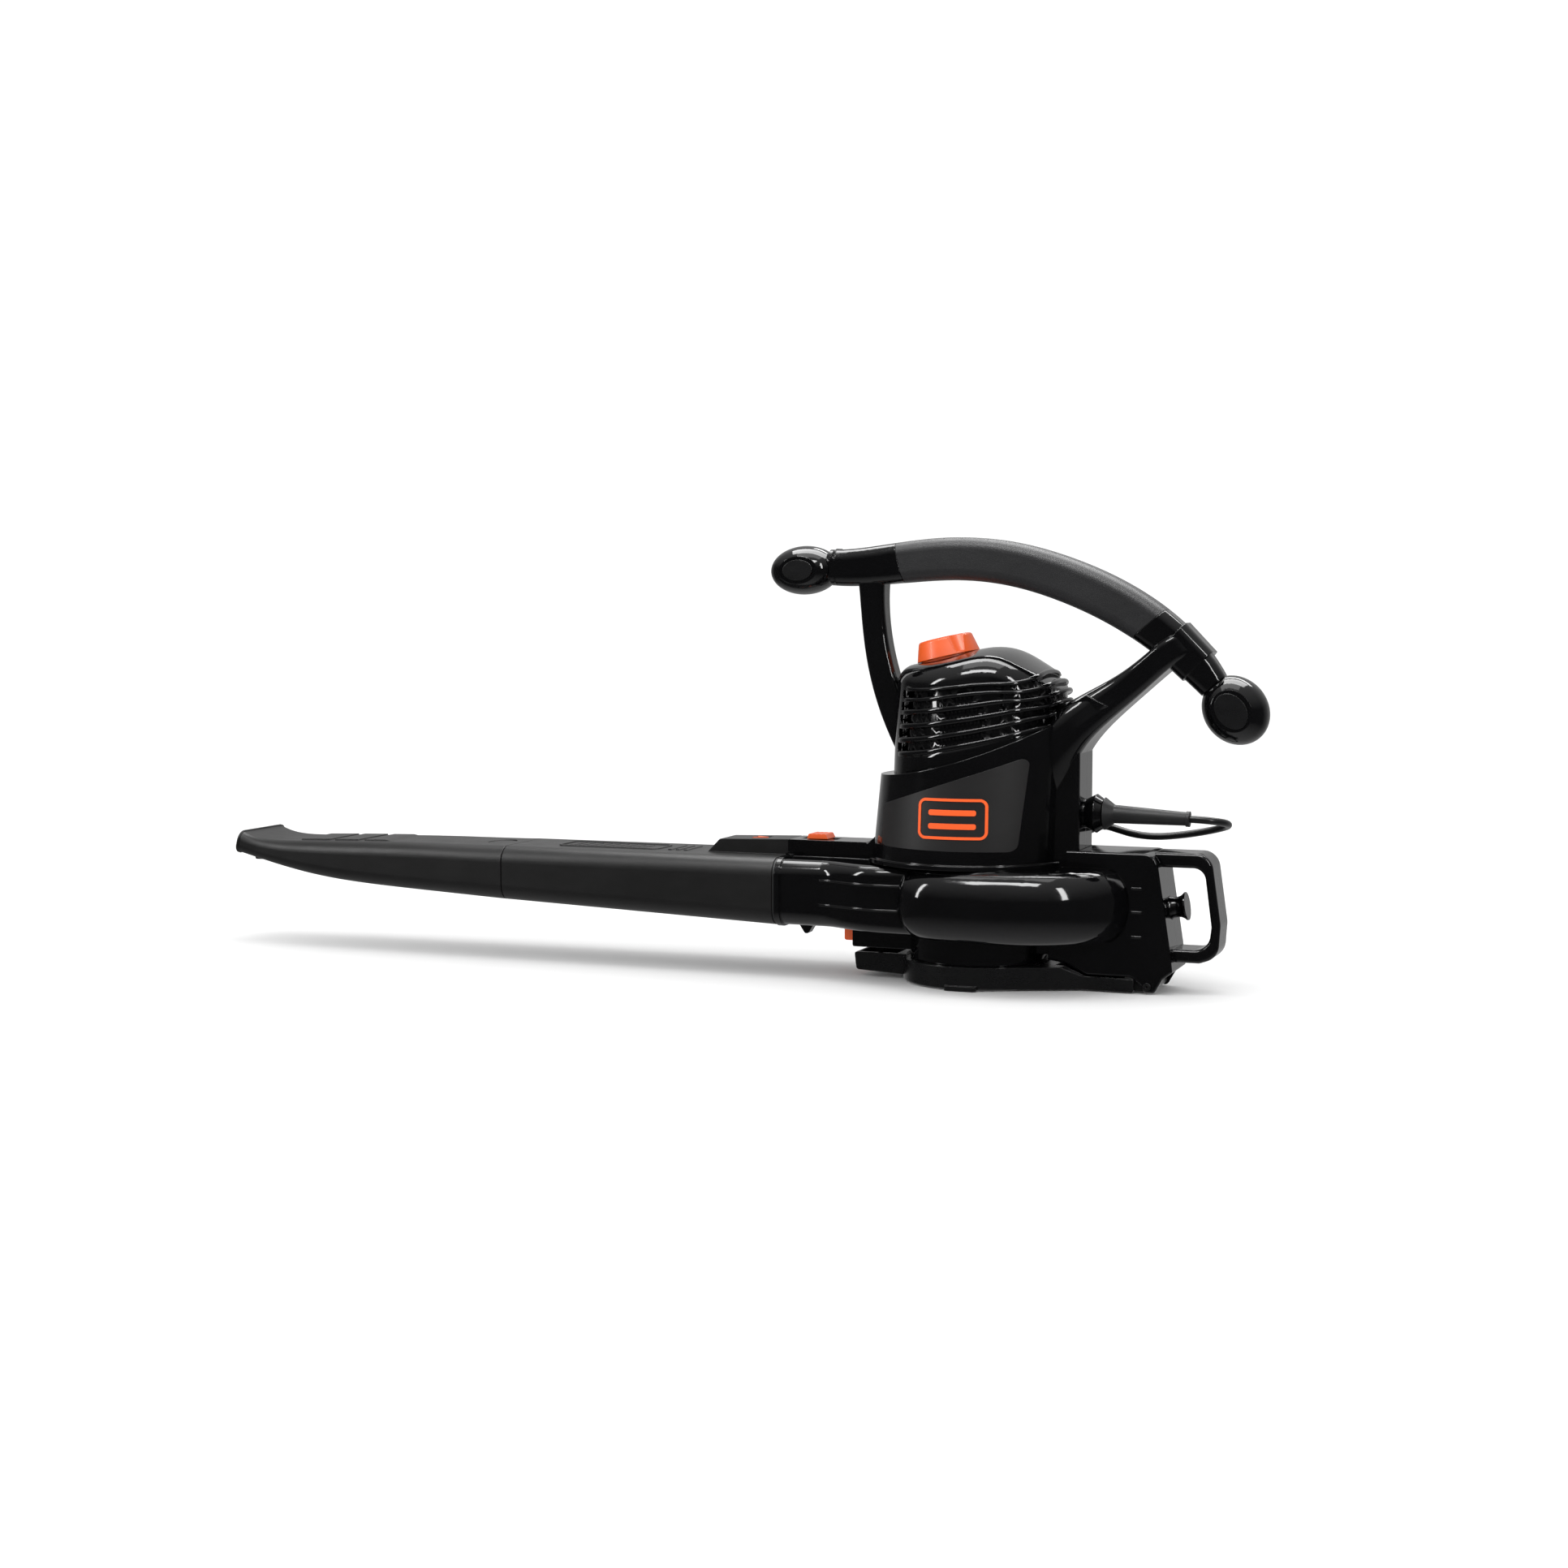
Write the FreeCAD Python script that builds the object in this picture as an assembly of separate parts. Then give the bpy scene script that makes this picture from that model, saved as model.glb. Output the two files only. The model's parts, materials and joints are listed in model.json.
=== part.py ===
"""Corded blower vacuum: fan housing with motor above it, top handle, outlet tube and nozzle.

Millimetres.  The origin is on the fan axis, level with the underside of the inlet cover.
+X points to the rear (the tube points along -X), +Y to the operator's right with the tube
pointing forward, and +Z is up.
"""
import FreeCAD, Part
import math
import os

# ---------------------------------------------------------------- driving dimensions
WALL = 3.0                       # moulded wall thickness
GAP = 0.35                       # clearance between pieces that move apart

# fan housing
RING_RADIUS = 64.0               # inlet ring under the scroll
RING_BOTTOM = 21.0
SCROLL_BOTTOM = 45.0
SCROLL_TOP = 109.0
LID_BOTTOM = 105.0               # parting line between the bowl and its lid
INLET_RADIUS = 55.0
DUCT_FRONT_X = -180.0            # face that the tube butts against
DUCT_STRAIGHT_X = -137.0
SPIGOT_FRONT_X = -214.0
SCROLL_CENTRE = (46.0, 8.0)
# plan outline from the near end of the outlet round the back to the far end
SCROLL_OUTLINE = [(-57, -62), (-53, -80), (-38, -93), (0, -101.5), (44, -104), (86, -94), (119, -72),
                  (142, -36), (151, 8), (146, 52), (126, 92), (90, 117), (44, 129), (-4, 131.5),
                  (-48, 123), (-80, 103)]

# tube and nozzle
TUBE_REAR_X = DUCT_FRONT_X - 2.7
TUBE_REAR_HALF = 56.0
TUBE_REAR_Z = (46.5, 109.0)
TUBE_FRONT_X = -463.5
TUBE_FRONT_HALF = 50.0
TUBE_FRONT_Z = (56.8, 108.6)
TUBE_WALL = 2.6
NOZZLE_SOCKET = 34.0             # length of spigot inside the nozzle

# motor body
# each oval section: height, centre x, half length, half width
SKIRT_SECTIONS = [(104.0, -9.5, 89.5, 88.0), (190.0, -4.0, 87.0, 82.5), (275.0, 1.5, 84.5, 77.0)]
CAP_SECTIONS = [(170.0, -0.5, 79.5, 76.0), (230.0, 1.5, 79.5, 73.5), (285.0, 4.0, 79.5, 69.0),
                (330.0, 5.5, 76.5, 65.0)]
LIP_CENTRE_X = -9.0              # flange of the skirt on the fan housing's lid
LIP_RADIUS = 93.5
CAP_ROUNDING = 18.0
# crest line of the cap from front to rear: x, z
CAP_CROWN = [(-110, 276.0), (-70, 285.2), (-30, 294.4), (-5, 300.2), (12, 303.2), (30, 301.5), (50, 291.5),
             (68, 279.5), (84, 264.0), (103, 238.0)]
# vent slots: x of the front end, height of the top edge at the front and at the rear
VENTS = [(-60.0, 268.0, 288.0), (-61.5, 255.4, 279.5), (-63.0, 242.8, 271.0), (-64.5, 230.2, 262.5),
         (-66.0, 217.6, 254.0)]
VENT_HEIGHT = 8.6
VENT_MOUTH = 12.0                # length of the open mouth at a slot's front end
VENT_MIDDLE_RISE = 0.30          # share of the rise reached at half length
VENT_REAR_NARROWING = 0.62       # slot height at the rear as a share of that at the front

# motor
SHAFT_RADIUS = 5.0
ARMATURE_RADIUS = 25.0
ARMATURE_Z = (168.0, 214.0)
STATOR_RADIUS = 44.0
BEARING_LOW_Z = 112.0
BEARING_HIGH_Z = 249.0

# top handle: one long arc with a straight front end
GRIP_HALF_HEIGHT = 19.5
GRIP_HALF_WIDTH = 18.5
HANDLE_PATH = [(-142.0, 375.0), (-76.0, 379.0), (7.0, 381.0), (75.0, 365.0),
               (152.0, 327.0), (189.0, 297.0), (212.0, 271.0)]
FRONT_BULB = (-170.0, 372.5)
REAR_BULB = (231.0, 250.0)
BULB_FLAT = 21.5                 # half width across the knobs' trimmed sides

# rear frame and cover hinge
FRAME_HALF = 30.0
HINGE_X = 162.0
HINGE_Z = 6.5
PIN_RADIUS = 2.5

# screws driven sideways from +Y: x, y under the head, z
SCREW_RADIUS = 1.8
SCREW_HEAD_RADIUS = 3.3
SCREW_LENGTH = 16.0
HOUSING_SCREWS = [(-112.0, 9.0, 377.0), (-96.0, 7.5, 298.0), (128.0, 11.0, 263.0), (187.0, 10.5, 300.0)]
FRAME_SCREWS = [(196.0, 11.0, 118.0), (201.0, 10.0, 33.5)]

# speed knob
KNOB_CENTRE = (-31.0, 294.2)
KNOB_TILT = 13.0
KNOB_RADIUS = 29.0
KNOB_HEIGHT = 17.5

# cord: its saddle's screws, its thickness and the points of its route
CLAMP_SCREW_RADIUS = 1.5
CORD_RADIUS = 3.3
RELIEF_END_X = 192.0
CORD_POINTS = [(192.0, 0.0, 153.0), (201.0, 0.2, 152.8), (214.0, 4.8, 151.4), (222.0, 17.8, 148.6),
               (220.0, 33.3, 145.0), (208.7, 44.0, 141.0), (192.0, 47.5, 137.0), (173.0, 49.0, 133.6),
               (152.0, 48.0, 131.4), (131.0, 48.0, 132.8), (113.0, 54.0, 136.8), (99.0, 67.5, 138.2),
               (86.5, 83.0, 134.2), (71.0, 96.0, 127.0), (51.0, 105.0, 122.6), (30.0, 109.0, 121.6)]


# ---------------------------------------------------------------- shape helpers
def vec(x, y, z):
    return FreeCAD.Vector(x, y, z)


def box(x0, x1, y0, y1, z0, z1):
    return Part.makeBox(x1 - x0, y1 - y0, z1 - z0, vec(x0, y0, z0))


def rod(radius, start, end):
    axis = vec(*end) - vec(*start)
    return Part.makeCylinder(radius, axis.Length, vec(*start), axis)


def cone(radius_start, radius_end, start, end):
    axis = vec(*end) - vec(*start)
    return Part.makeCone(radius_start, radius_end, axis.Length, vec(*start), axis)


def ring(outer, inner, start, end):
    return rod(outer, start, end).cut(rod(inner, start, end))


def rounded_wire(points):
    """Closed wire through (vector, corner radius) pairs, each corner a tangent arc."""
    edges = []
    ends = []
    count = len(points)
    for index in range(count):
        corner, radius = points[index]
        to_last = (points[index - 1][0] - corner).normalize()
        to_next = (points[(index + 1) % count][0] - corner).normalize()
        if radius <= 0:
            ends.append((corner, None, corner))
            continue
        half = to_last.getAngle(to_next) / 2
        first = corner + to_last * (radius / math.tan(half))
        last = corner + to_next * (radius / math.tan(half))
        middle = corner + (to_last + to_next).normalize() * (radius / math.sin(half) - radius)
        ends.append((first, middle, last))
    for index in range(count):
        first, middle, last = ends[index]
        if middle is not None:
            edges.append(Part.Arc(first, middle, last).toShape())
        following = ends[(index + 1) % count][0]
        if (following - last).Length > 1e-4:
            edges.append(Part.LineSegment(last, following).toShape())
    return Part.Wire(edges)


def side_plate(points, y0, y1):
    """Outline of (x, z, corner radius) in the side view, extruded from y0 to y1."""
    wire = rounded_wire([(vec(x, y0, z), radius) for x, z, radius in points])
    return Part.Face(wire).extrude(vec(0, y1 - y0, 0))


def flat_plate(points, z0, z1):
    """Outline of (x, y, corner radius) in the plan view, extruded from z0 to z1."""
    wire = rounded_wire([(vec(x, y, z0), radius) for x, y, radius in points])
    return Part.Face(wire).extrude(vec(0, 0, z1 - z0))


def section(x, z, angle, half_height, half_width, radius):
    """Rounded rectangle across a direction that rises by angle degrees from +X."""
    rise = math.radians(angle)
    up = vec(-math.sin(rise), 0, math.cos(rise)) * half_height
    side = vec(0, half_width, 0)
    centre = vec(x, 0, z)
    corners = [centre - side - up, centre + side - up, centre + side + up, centre - side + up]
    return rounded_wire([(corner, radius) for corner in corners])


def duct_section(x, half_width, z_range, radius, inset=0.0, shift=0.0):
    """Rounded rectangle in the plane x, shrunk by inset and moved sideways by shift."""
    low = z_range[0] + inset
    high = z_range[1] - inset
    half = half_width - inset
    corners = [vec(x, shift - half, low), vec(x, shift + half, low),
               vec(x, shift + half, high), vec(x, shift - half, high)]
    return rounded_wire([(corner, max(radius - inset, 1.0)) for corner in corners])


def loft(wires, ruled=False):
    return Part.makeLoft(wires, True, ruled)


def ellipse_wire(x, z, radius_x, radius_y):
    major = max(radius_x, radius_y)
    minor = min(radius_x, radius_y)
    curve = Part.Ellipse(vec(0, 0, 0), major, minor)
    wire = Part.Wire([curve.toShape()])
    if radius_y > radius_x:
        wire.rotate(vec(0, 0, 0), vec(0, 0, 1), 90)
    wire.translate(vec(x, 0, z))
    return wire


def soften(shape, radius, pick):
    """Round the edges whose bounding box and middle point satisfy pick."""
    edges = [edge for edge in shape.Edges if pick(edge.BoundBox)]
    return shape.makeFillet(radius, edges)


def mirrored(shape):
    return shape.mirror(vec(0, 0, 0), vec(0, 1, 0))


def left_half(shape):
    return shape.common(box(-900, 500, 0, 300, -50, 500))


def right_half(shape):
    return shape.common(box(-900, 500, -300, 0, -50, 500))


def coil(radius, wire_radius, pitch, start, axis, length):
    """Helical spring of round wire."""
    helix = Part.makeHelix(pitch, length, radius)
    profile = Part.Wire([Part.Circle(vec(radius, 0, 0), vec(0, 1, 0), wire_radius).toShape()])
    spring = Part.Wire(helix.Edges).makePipeShell([profile], True, True)
    turn = FreeCAD.Rotation(vec(0, 0, 1), vec(*axis))
    spring.Placement = FreeCAD.Placement(vec(*start), turn)
    return spring


def save(name, shape):
    shape.exportStep("parts/" + name + ".step")


def screw_hole(x, y, z):
    """Counterbored hole that a side screw sits in."""
    shank = rod(SCREW_RADIUS, (x, y - SCREW_LENGTH, z), (x, y, z))
    return shank.fuse(rod(SCREW_HEAD_RADIUS + 0.3, (x, y, z), (x, y + 40, z)))


# ---------------------------------------------------------------- motor body
def oval_solid(sections, inset):
    """Tapered oval body through the sections, shrunk by inset."""
    return loft([ellipse_wire(x, z, rx - inset, ry - inset) for z, x, rx, ry in sections])


def skirt_solid(inset):
    return oval_solid(SKIRT_SECTIONS, inset)


def cap_solid(inset):
    return oval_solid(CAP_SECTIONS, inset)


def step_cutter(drop):
    """Everything above the sweeping step line, lowered by drop."""
    start = vec(-120, -150, 187 - drop)
    middle = vec(-8, -150, 201 - drop)
    end = vec(84, -150, 240 - drop)
    tip = vec(140, -150, 286 - drop)
    edges = [Part.Arc(start, middle, end).toShape(),
             Part.LineSegment(end, tip).toShape(),
             Part.LineSegment(tip, vec(140, -150, 400)).toShape(),
             Part.LineSegment(vec(140, -150, 400), vec(-120, -150, 400)).toShape(),
             Part.LineSegment(vec(-120, -150, 400), start).toShape()]
    return Part.Face(Part.Wire(edges)).extrude(vec(0, 300, 0))


def rear_spine():
    """Narrow column behind the oval body that carries the cord outlet and the strut."""
    outline = [(40, 109, 0), (98, 109, 0), (98, 232, 28), (124, 252, 0), (104, 262, 0), (40, 225, 0)]
    spine = side_plate(outline, -27, 27)
    return soften(spine, 5, lambda b: b.XMin > 97 and b.ZLength > 20 and b.YLength < 1)


def limb(stations, shrink):
    """Loft of sections (x, z, angle, half height, half width, corner radius), shrunk all round."""
    sections = []
    for x, z, angle, height, width, radius in stations:
        sections.append(section(x, z, angle, height - shrink, width - shrink, radius - shrink / 2))
    return loft(sections)


def rear_strut(shrink):
    return limb([(58, 165, 86, 24, 28, 20), (67, 200, 68, 25, 34, 19), (88, 232, 48, 20.5, 34, 15),
                 (118, 256, 39, 15.5, 25, 10), (153, 282.5, 37, 12, 20.5, 6),
                 (188, 308, 36, 11.5, 19, 5)], shrink)


def front_strut(shrink):
    return limb([(-52, 192, 118, 14, 15, 6), (-79.5, 242, 110, 13, 13.5, 6),
                 (-95, 290, 99, 12, 12.5, 6), (-101, 330, 95, 11.5, 12.5, 6),
                 (-102.5, 366, 92, 13, 13.5, 6)], shrink)


def handle_bar(shrink):
    """Rounded bar along the handle path, smaller by shrink all round."""
    half_heights = [16.5, 18.5, GRIP_HALF_HEIGHT, GRIP_HALF_HEIGHT, 19.0, 17.0, 13.5]
    half_widths = [15.0, 17.5, GRIP_HALF_WIDTH, GRIP_HALF_WIDTH, 18.0, 17.0, 14.0]
    angles = [2.5, 3.0, -6.0, -19.5, -34.5, -44.0, -49.0]
    sections = []
    for (x, z), height, width, angle in zip(HANDLE_PATH, half_heights, half_widths, angles):
        radius = 10.5 - shrink / 2
        sections.append(section(x, z, angle, height - shrink, width - shrink, radius))
    return loft(sections)


def bulb(centre, angle, long_radius, high_radius, wide_radius):
    """Egg-shaped end knob, trimmed flat on both sides."""
    ball = Part.makeSphere(1.0)
    stretch = FreeCAD.Matrix()
    stretch.A11 = long_radius
    stretch.A22 = wide_radius
    stretch.A33 = high_radius
    egg = ball.transformGeometry(stretch)
    egg.rotate(vec(0, 0, 0), vec(0, 1, 0), -angle)
    egg.translate(vec(centre[0], 0, centre[1]))
    return egg.common(box(-300, 300, -BULB_FLAT, BULB_FLAT, 150, 450))


def grip_zone(swell):
    """Slanted slab of space that the soft grip fills, wider by swell at each end."""
    front_top = (-85 - swell, 420, 0)
    front_low = (-66 - swell, 345, 0)
    rear_low = (126 + swell, 300, 0)
    rear_top = (186 + swell, 350, 0)
    return side_plate([front_top, front_low, (20, 300, 0), rear_low, rear_top, (60, 430, 0)], -60, 60)


def handle_solid():
    bar = handle_bar(0).cut(grip_zone(0))
    core = handle_bar(3.0)
    front = bulb(FRONT_BULB, 3, 33, 22.5, 26)
    rear = bulb(REAR_BULB, -50, 32, 28, 27)
    collar_top = section(175.5, 311.0, -40, 19.6, 19.6, 11)
    collar_low = section(199, 288, -46, 18.4, 18.6, 10.5)
    collar = loft([collar_top, collar_low], True)
    neck = loft([section(-147, 374.5, 2, 13, 12, 8), section(-136, 375.3, 2, 17, 15.5, 9)])
    shape = core.fuse([bar, front, rear, collar, neck])
    return shape


def limb_hollows():
    """Space inside the handle, struts and end knobs."""
    channel = handle_bar(6.0).common(box(-132, 204, -60, 60, 200, 450))
    front = bulb(FRONT_BULB, 3, 30, 19.5, 23).common(box(-300, 300, 3 - BULB_FLAT, BULB_FLAT - 3, 150, 450))
    rear = bulb(REAR_BULB, -50, 29, 25, 24).common(box(-300, 300, 3 - BULB_FLAT, BULB_FLAT - 3, 150, 450))
    rear_room = rear_strut(4.0).common(box(100, 176, -60, 60, 200, 400))
    front_room = front_strut(3.5).common(box(-130, 0, -60, 60, 215, 362))
    return channel.fuse([front, rear, rear_room, front_room])


def upper_frame():
    """Handle, both struts, spine and skirt as one solid, before it is split down the middle."""
    skirt = skirt_solid(0).cut(step_cutter(0))
    lip = ring(LIP_RADIUS, 80, (LIP_CENTRE_X, 0, LID_BOTTOM + 4), (LIP_CENTRE_X, 0, LID_BOTTOM + 8))
    struts = rear_spine().fuse([rear_strut(0), front_strut(0), handle_solid()])
    outside = skirt.fuse([lip, struts])
    inside = skirt_solid(WALL).cut(step_cutter(3.2))
    cap_room = cap_solid(-0.2).common(box(-120, 120, -120, 120, 175, 400))
    shape = outside.cut([inside, cap_room, limb_hollows()])
    shape = shape.cut(box(-130, 130, -120, 120, 90, LID_BOTTOM + 4))
    shape = shape.cut([rod(13.1, (70, 0, 155.5), (110, 0, 155.5)), box(30, 94, -23, 23, 113, 200)])
    bosses = Part.makeCompound([rod(4.6, (x, -40, z), (x, 40, z)) for x, y, z in HOUSING_SCREWS])
    shape = shape.fuse(bosses.common(outside).Solids)
    shape = shape.cut([screw_hole(*place) for place in HOUSING_SCREWS])
    return largest(shape)


def largest(shape):
    return max(shape.Solids, key=lambda solid: solid.Volume)


def cap_profile(drop):
    """Side outline of the cap: steep front, tilted deck for the knob, hump and falling rear."""
    crown = [vec(x, -120, z - drop) for x, z in CAP_CROWN]
    curve = Part.BSplineCurve()
    curve.interpolate(crown)
    front_low = vec(-110, -120, 150)
    rear_low = vec(crown[-1].x, -120, 150)
    edges = [Part.LineSegment(front_low, crown[0]).toShape(), curve.toShape(),
             Part.LineSegment(crown[-1], rear_low).toShape(), Part.LineSegment(rear_low, front_low).toShape()]
    return Part.Face(Part.Wire(edges)).extrude(vec(0, 240, 0))


def vent_band(front_x, front_z, rear_z, y0, y1):
    """Curved horizontal band that one vent slot is cut with, rising towards the rear."""
    middle_z = front_z + (rear_z - front_z) * VENT_MIDDLE_RISE
    rear_thick = VENT_HEIGHT * VENT_REAR_NARROWING
    low = [vec(front_x, y0, front_z - VENT_HEIGHT), vec(12, y0, middle_z - VENT_HEIGHT),
           vec(110, y0, rear_z - rear_thick)]
    high = [vec(front_x, y0, front_z), vec(12, y0, middle_z), vec(110, y0, rear_z)]
    edges = [Part.Arc(*low).toShape(), Part.LineSegment(low[2], high[2]).toShape(),
             Part.Arc(high[2], high[1], high[0]).toShape(), Part.LineSegment(high[0], low[0]).toShape()]
    return Part.Face(Part.Wire(edges)).extrude(vec(0, y1 - y0, 0))


def motor_cap():
    body = cap_solid(0).common(cap_profile(0))
    body = soften(body, CAP_ROUNDING, lambda b: b.ZMin > 222 and b.YLength > 1)
    body = body.common(step_cutter(4))
    core = cap_solid(4.2).common(cap_profile(4.2))
    hollow = cap_solid(6.4).common(cap_profile(6.4))
    grooves = [vent_band(x, front, rear, -110, 110).cut(core) for x, front, rear in VENTS]
    mouths = [box(x, x + VENT_MOUTH, -110, 110, front - VENT_HEIGHT, front) for x, front, _ in VENTS]
    shape = body.cut(hollow)
    for groove, mouth in zip(grooves, mouths):
        shape = shape.cut(groove).cut(mouth)
    seat = knob_frame(rod(26.5, (0, 0, -6.3), (0, 0, 30)))
    rim_room = knob_frame(rod(KNOB_RADIUS + 0.8, (0, 0, -0.4), (0, 0, 30)))
    floor = knob_frame(rod(27.5, (0, 0, -9.0), (0, 0, -6.3))).common(cap_solid(1))
    shaft_hole = knob_frame(rod(6.3, (0, 0, -30), (0, 0, 2)))
    return largest(shape.cut([seat, rim_room]).fuse(floor).cut(shaft_hole))


def knob_frame(shape):
    """Place a shape built about +Z on the tilted knob axis."""
    shape.rotate(vec(0, 0, 0), vec(0, 1, 0), -KNOB_TILT)
    shape.translate(vec(KNOB_CENTRE[0], 0, KNOB_CENTRE[1]))
    return shape


def label_panel(side):
    """Thin satin plate that follows the skirt; side is -1 or 1."""
    outline = [(-75, 163, 4), (-75, 126, 6), (52.5, 125, 8), (61.5, 209, 5), (25, 196, 60)]
    window = side_plate(outline, 20, 120)
    skin = skirt_solid(-0.7).cut(skirt_solid(0.0))
    panel = skin.common(window)
    return panel if side > 0 else mirrored(panel)


def badge(side):
    """Plain rounded frame with two bars, raised on the label panel."""
    skin = skirt_solid(-1.3).cut(skirt_solid(-0.7))
    outer = side_plate([(-33, 136, 7), (30, 136, 7), (30, 172, 7), (-33, 172, 7)], 20, 120)
    inner = side_plate([(-30.5, 138.5, 4.5), (27.5, 138.5, 4.5), (27.5, 169.5, 4.5), (-30.5, 169.5, 4.5)],
                       20, 120)
    bars = [side_plate([(-23, z, 2), (20, z, 2), (20, z + 5, 2), (-23, z + 5, 2)], 20, 120)
            for z in (145, 157)]
    shape = skin.common(outer.cut(inner).fuse(bars))
    return shape if side > 0 else mirrored(shape)


# ---------------------------------------------------------------- fan housing
def scroll_wire(z, inset):
    """Plan outline of the scroll at height z, drawn towards its middle by inset."""
    scale = 1 - inset / 105
    moved = []
    for x, y in SCROLL_OUTLINE:
        moved.append(vec(SCROLL_CENTRE[0] + (x - SCROLL_CENTRE[0]) * scale,
                         SCROLL_CENTRE[1] + (y - SCROLL_CENTRE[1]) * scale, z))
    curve = Part.BSplineCurve()
    curve.interpolate(moved)
    return Part.Wire([curve.toShape(), Part.LineSegment(moved[-1], moved[0]).toShape()])


def scroll_solid(inset):
    """Bulging scroll: a stack of outlines that swell towards half height."""
    low = SCROLL_BOTTOM + inset
    high = SCROLL_TOP - inset
    middle = (low + high) / 2
    half = (high - low) / 2
    wires = []
    for step in (-1.0, -0.93, -0.75, -0.4, 0.0, 0.4, 0.75, 0.93, 1.0):
        swell = 20 * (1 - math.sqrt(1 - 0.96 * step * step))
        wires.append(scroll_wire(middle + half * step, swell + inset))
    return loft(wires)


def duct_solid(inset):
    """Outlet duct: even behind the tube face, then widening into the scroll."""
    sections = [duct_section(DUCT_FRONT_X, 55, (47, 108), 16, inset),
                duct_section(DUCT_STRAIGHT_X, 55, (47, 108), 15, inset),
                duct_section(-127, 56.6, (47, 108), 14.5, inset, 0.1),
                duct_section(-115, 62.0, (47, 107.8), 13, inset, 0.8),
                duct_section(-98, 70.6, (46.9, 107.5), 11, inset, 2.4),
                duct_section(-72, 77.4, (46.7, 107.2), 9.5, inset, 5.4),
                duct_section(-40, 80, (46.5, 107), 8, inset, 8)]
    return loft([sections[0], sections[1]], True).fuse(loft(sections[1:]))


def fan_cavity():
    scroll = scroll_solid(WALL)
    duct = duct_solid(WALL)
    return scroll.fuse(duct)


def latch_block():
    """Housing of the cover latch, under the duct in front of the inlet ring."""
    outline = [(-114.5, 27.5, 2), (-50, 27.5, 0), (-50, 52, 0), (-114.5, 50, 2)]
    block = side_plate(outline, -25, 25)
    pocket = box(-120, -84, -9, 9, 30.2, 43.4)
    plunger_hole = rod(2.9, (-100, 15, 20), (-100, 15, 32))
    switch_room = box(-112, -78, 10.5, 20, 30, 46.9)
    return block.cut([pocket, plunger_hole, switch_room])


def tab():
    """Triangular rib under the duct."""
    return side_plate([(-178, 48, 0), (-167, 31.5, 3), (-157, 48, 0)], -5, 5)


def duct_ribs():
    """Two thin ribs along each flared wall of the duct."""
    outer = duct_solid(-1.0).common(box(-136, -46, -130, 130, 40, 120))
    slabs = [box(-136, -46, -130, 130, z - 0.7, z + 0.7) for z in (90.7, 68.3)]
    return outer.common(slabs[0].fuse(slabs[1]))


def housing_latch_box():
    """Raised box on the duct that the tube release slides in."""
    outline = [(-180, 106, 0), (-101, 106, 0), (-101, 120, 0), (-104, 123.5, 3), (-180, 123.5, 0.8)]
    block = side_plate(outline, -18.5, 18.5)
    block = block.fuse(side_plate([(-110, 106, 0), (-86, 106, 0), (-86, 131, 3), (-93, 131, 3),
                                   (-108, 117, 0)], -18.5, 18.5))
    slot = box(-171, -136, -8, 8, 112, 130)
    lip_room = rod(LIP_RADIUS + 0.4, (LIP_CENTRE_X, 0, LID_BOTTOM + 4), (LIP_CENTRE_X, 0, LID_BOTTOM + 8.4))
    return block.cut([slot, lip_room, skirt_solid(-0.3)])


def spigot(inset):
    """Part of the housing that slides into the tube."""
    half = TUBE_REAR_HALF - TUBE_WALL - GAP - inset
    low = TUBE_REAR_Z[0] + TUBE_WALL + GAP + inset
    high = TUBE_REAR_Z[1] - TUBE_WALL - GAP - inset
    sections = [duct_section(SPIGOT_FRONT_X, half - 1.5, (low + 1.2, high - 1), 13),
                duct_section(DUCT_FRONT_X + 3, half, (low, high), 13.5)]
    return loft(sections, True)


def fan_housing():
    """Whole fan housing with its cavity, before the lid is parted from the bowl."""
    rim = loft([duct_section(DUCT_FRONT_X, 57, (45.5, 109.5), 17),
                duct_section(DUCT_FRONT_X + 5, 57, (45.5, 109.5), 17)], True)
    throat = rod(RING_RADIUS, (1, 0, RING_BOTTOM), (1, 0, 60))
    outside = scroll_solid(0).fuse([duct_solid(0), rim, throat, latch_block(), tab(), duct_ribs(),
                                    housing_latch_box(), spigot(0)])
    outside = outside.fuse(frame_bridge())
    bore = rod(INLET_RADIUS, (0, 0, 10), (0, 0, 60))
    shaft_hole = rod(17.0, (0, 0, 90), (0, 0, 130))
    mouth = loft([duct_section(SPIGOT_FRONT_X - 2, 49, (53, 102.7), 11),
                  duct_section(DUCT_FRONT_X + 6, 51, (51, 104), 12.5)], True)
    shape = outside.cut([fan_cavity(), bore, mouth, shaft_hole])
    return shape


def frame_bridge():
    """Solid web that carries the rear frame, running back from the scroll."""
    web = box(60, 139.5, 1 - FRAME_HALF + WALL, FRAME_HALF - WALL - 1, 30, 60)
    return web.cut(rod(RING_RADIUS - 1, (1, 0, 0), (1, 0, 120)))


def lid_zone():
    return box(DUCT_STRAIGHT_X + 1, 300, -200, 200, LID_BOTTOM, 200)


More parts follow.
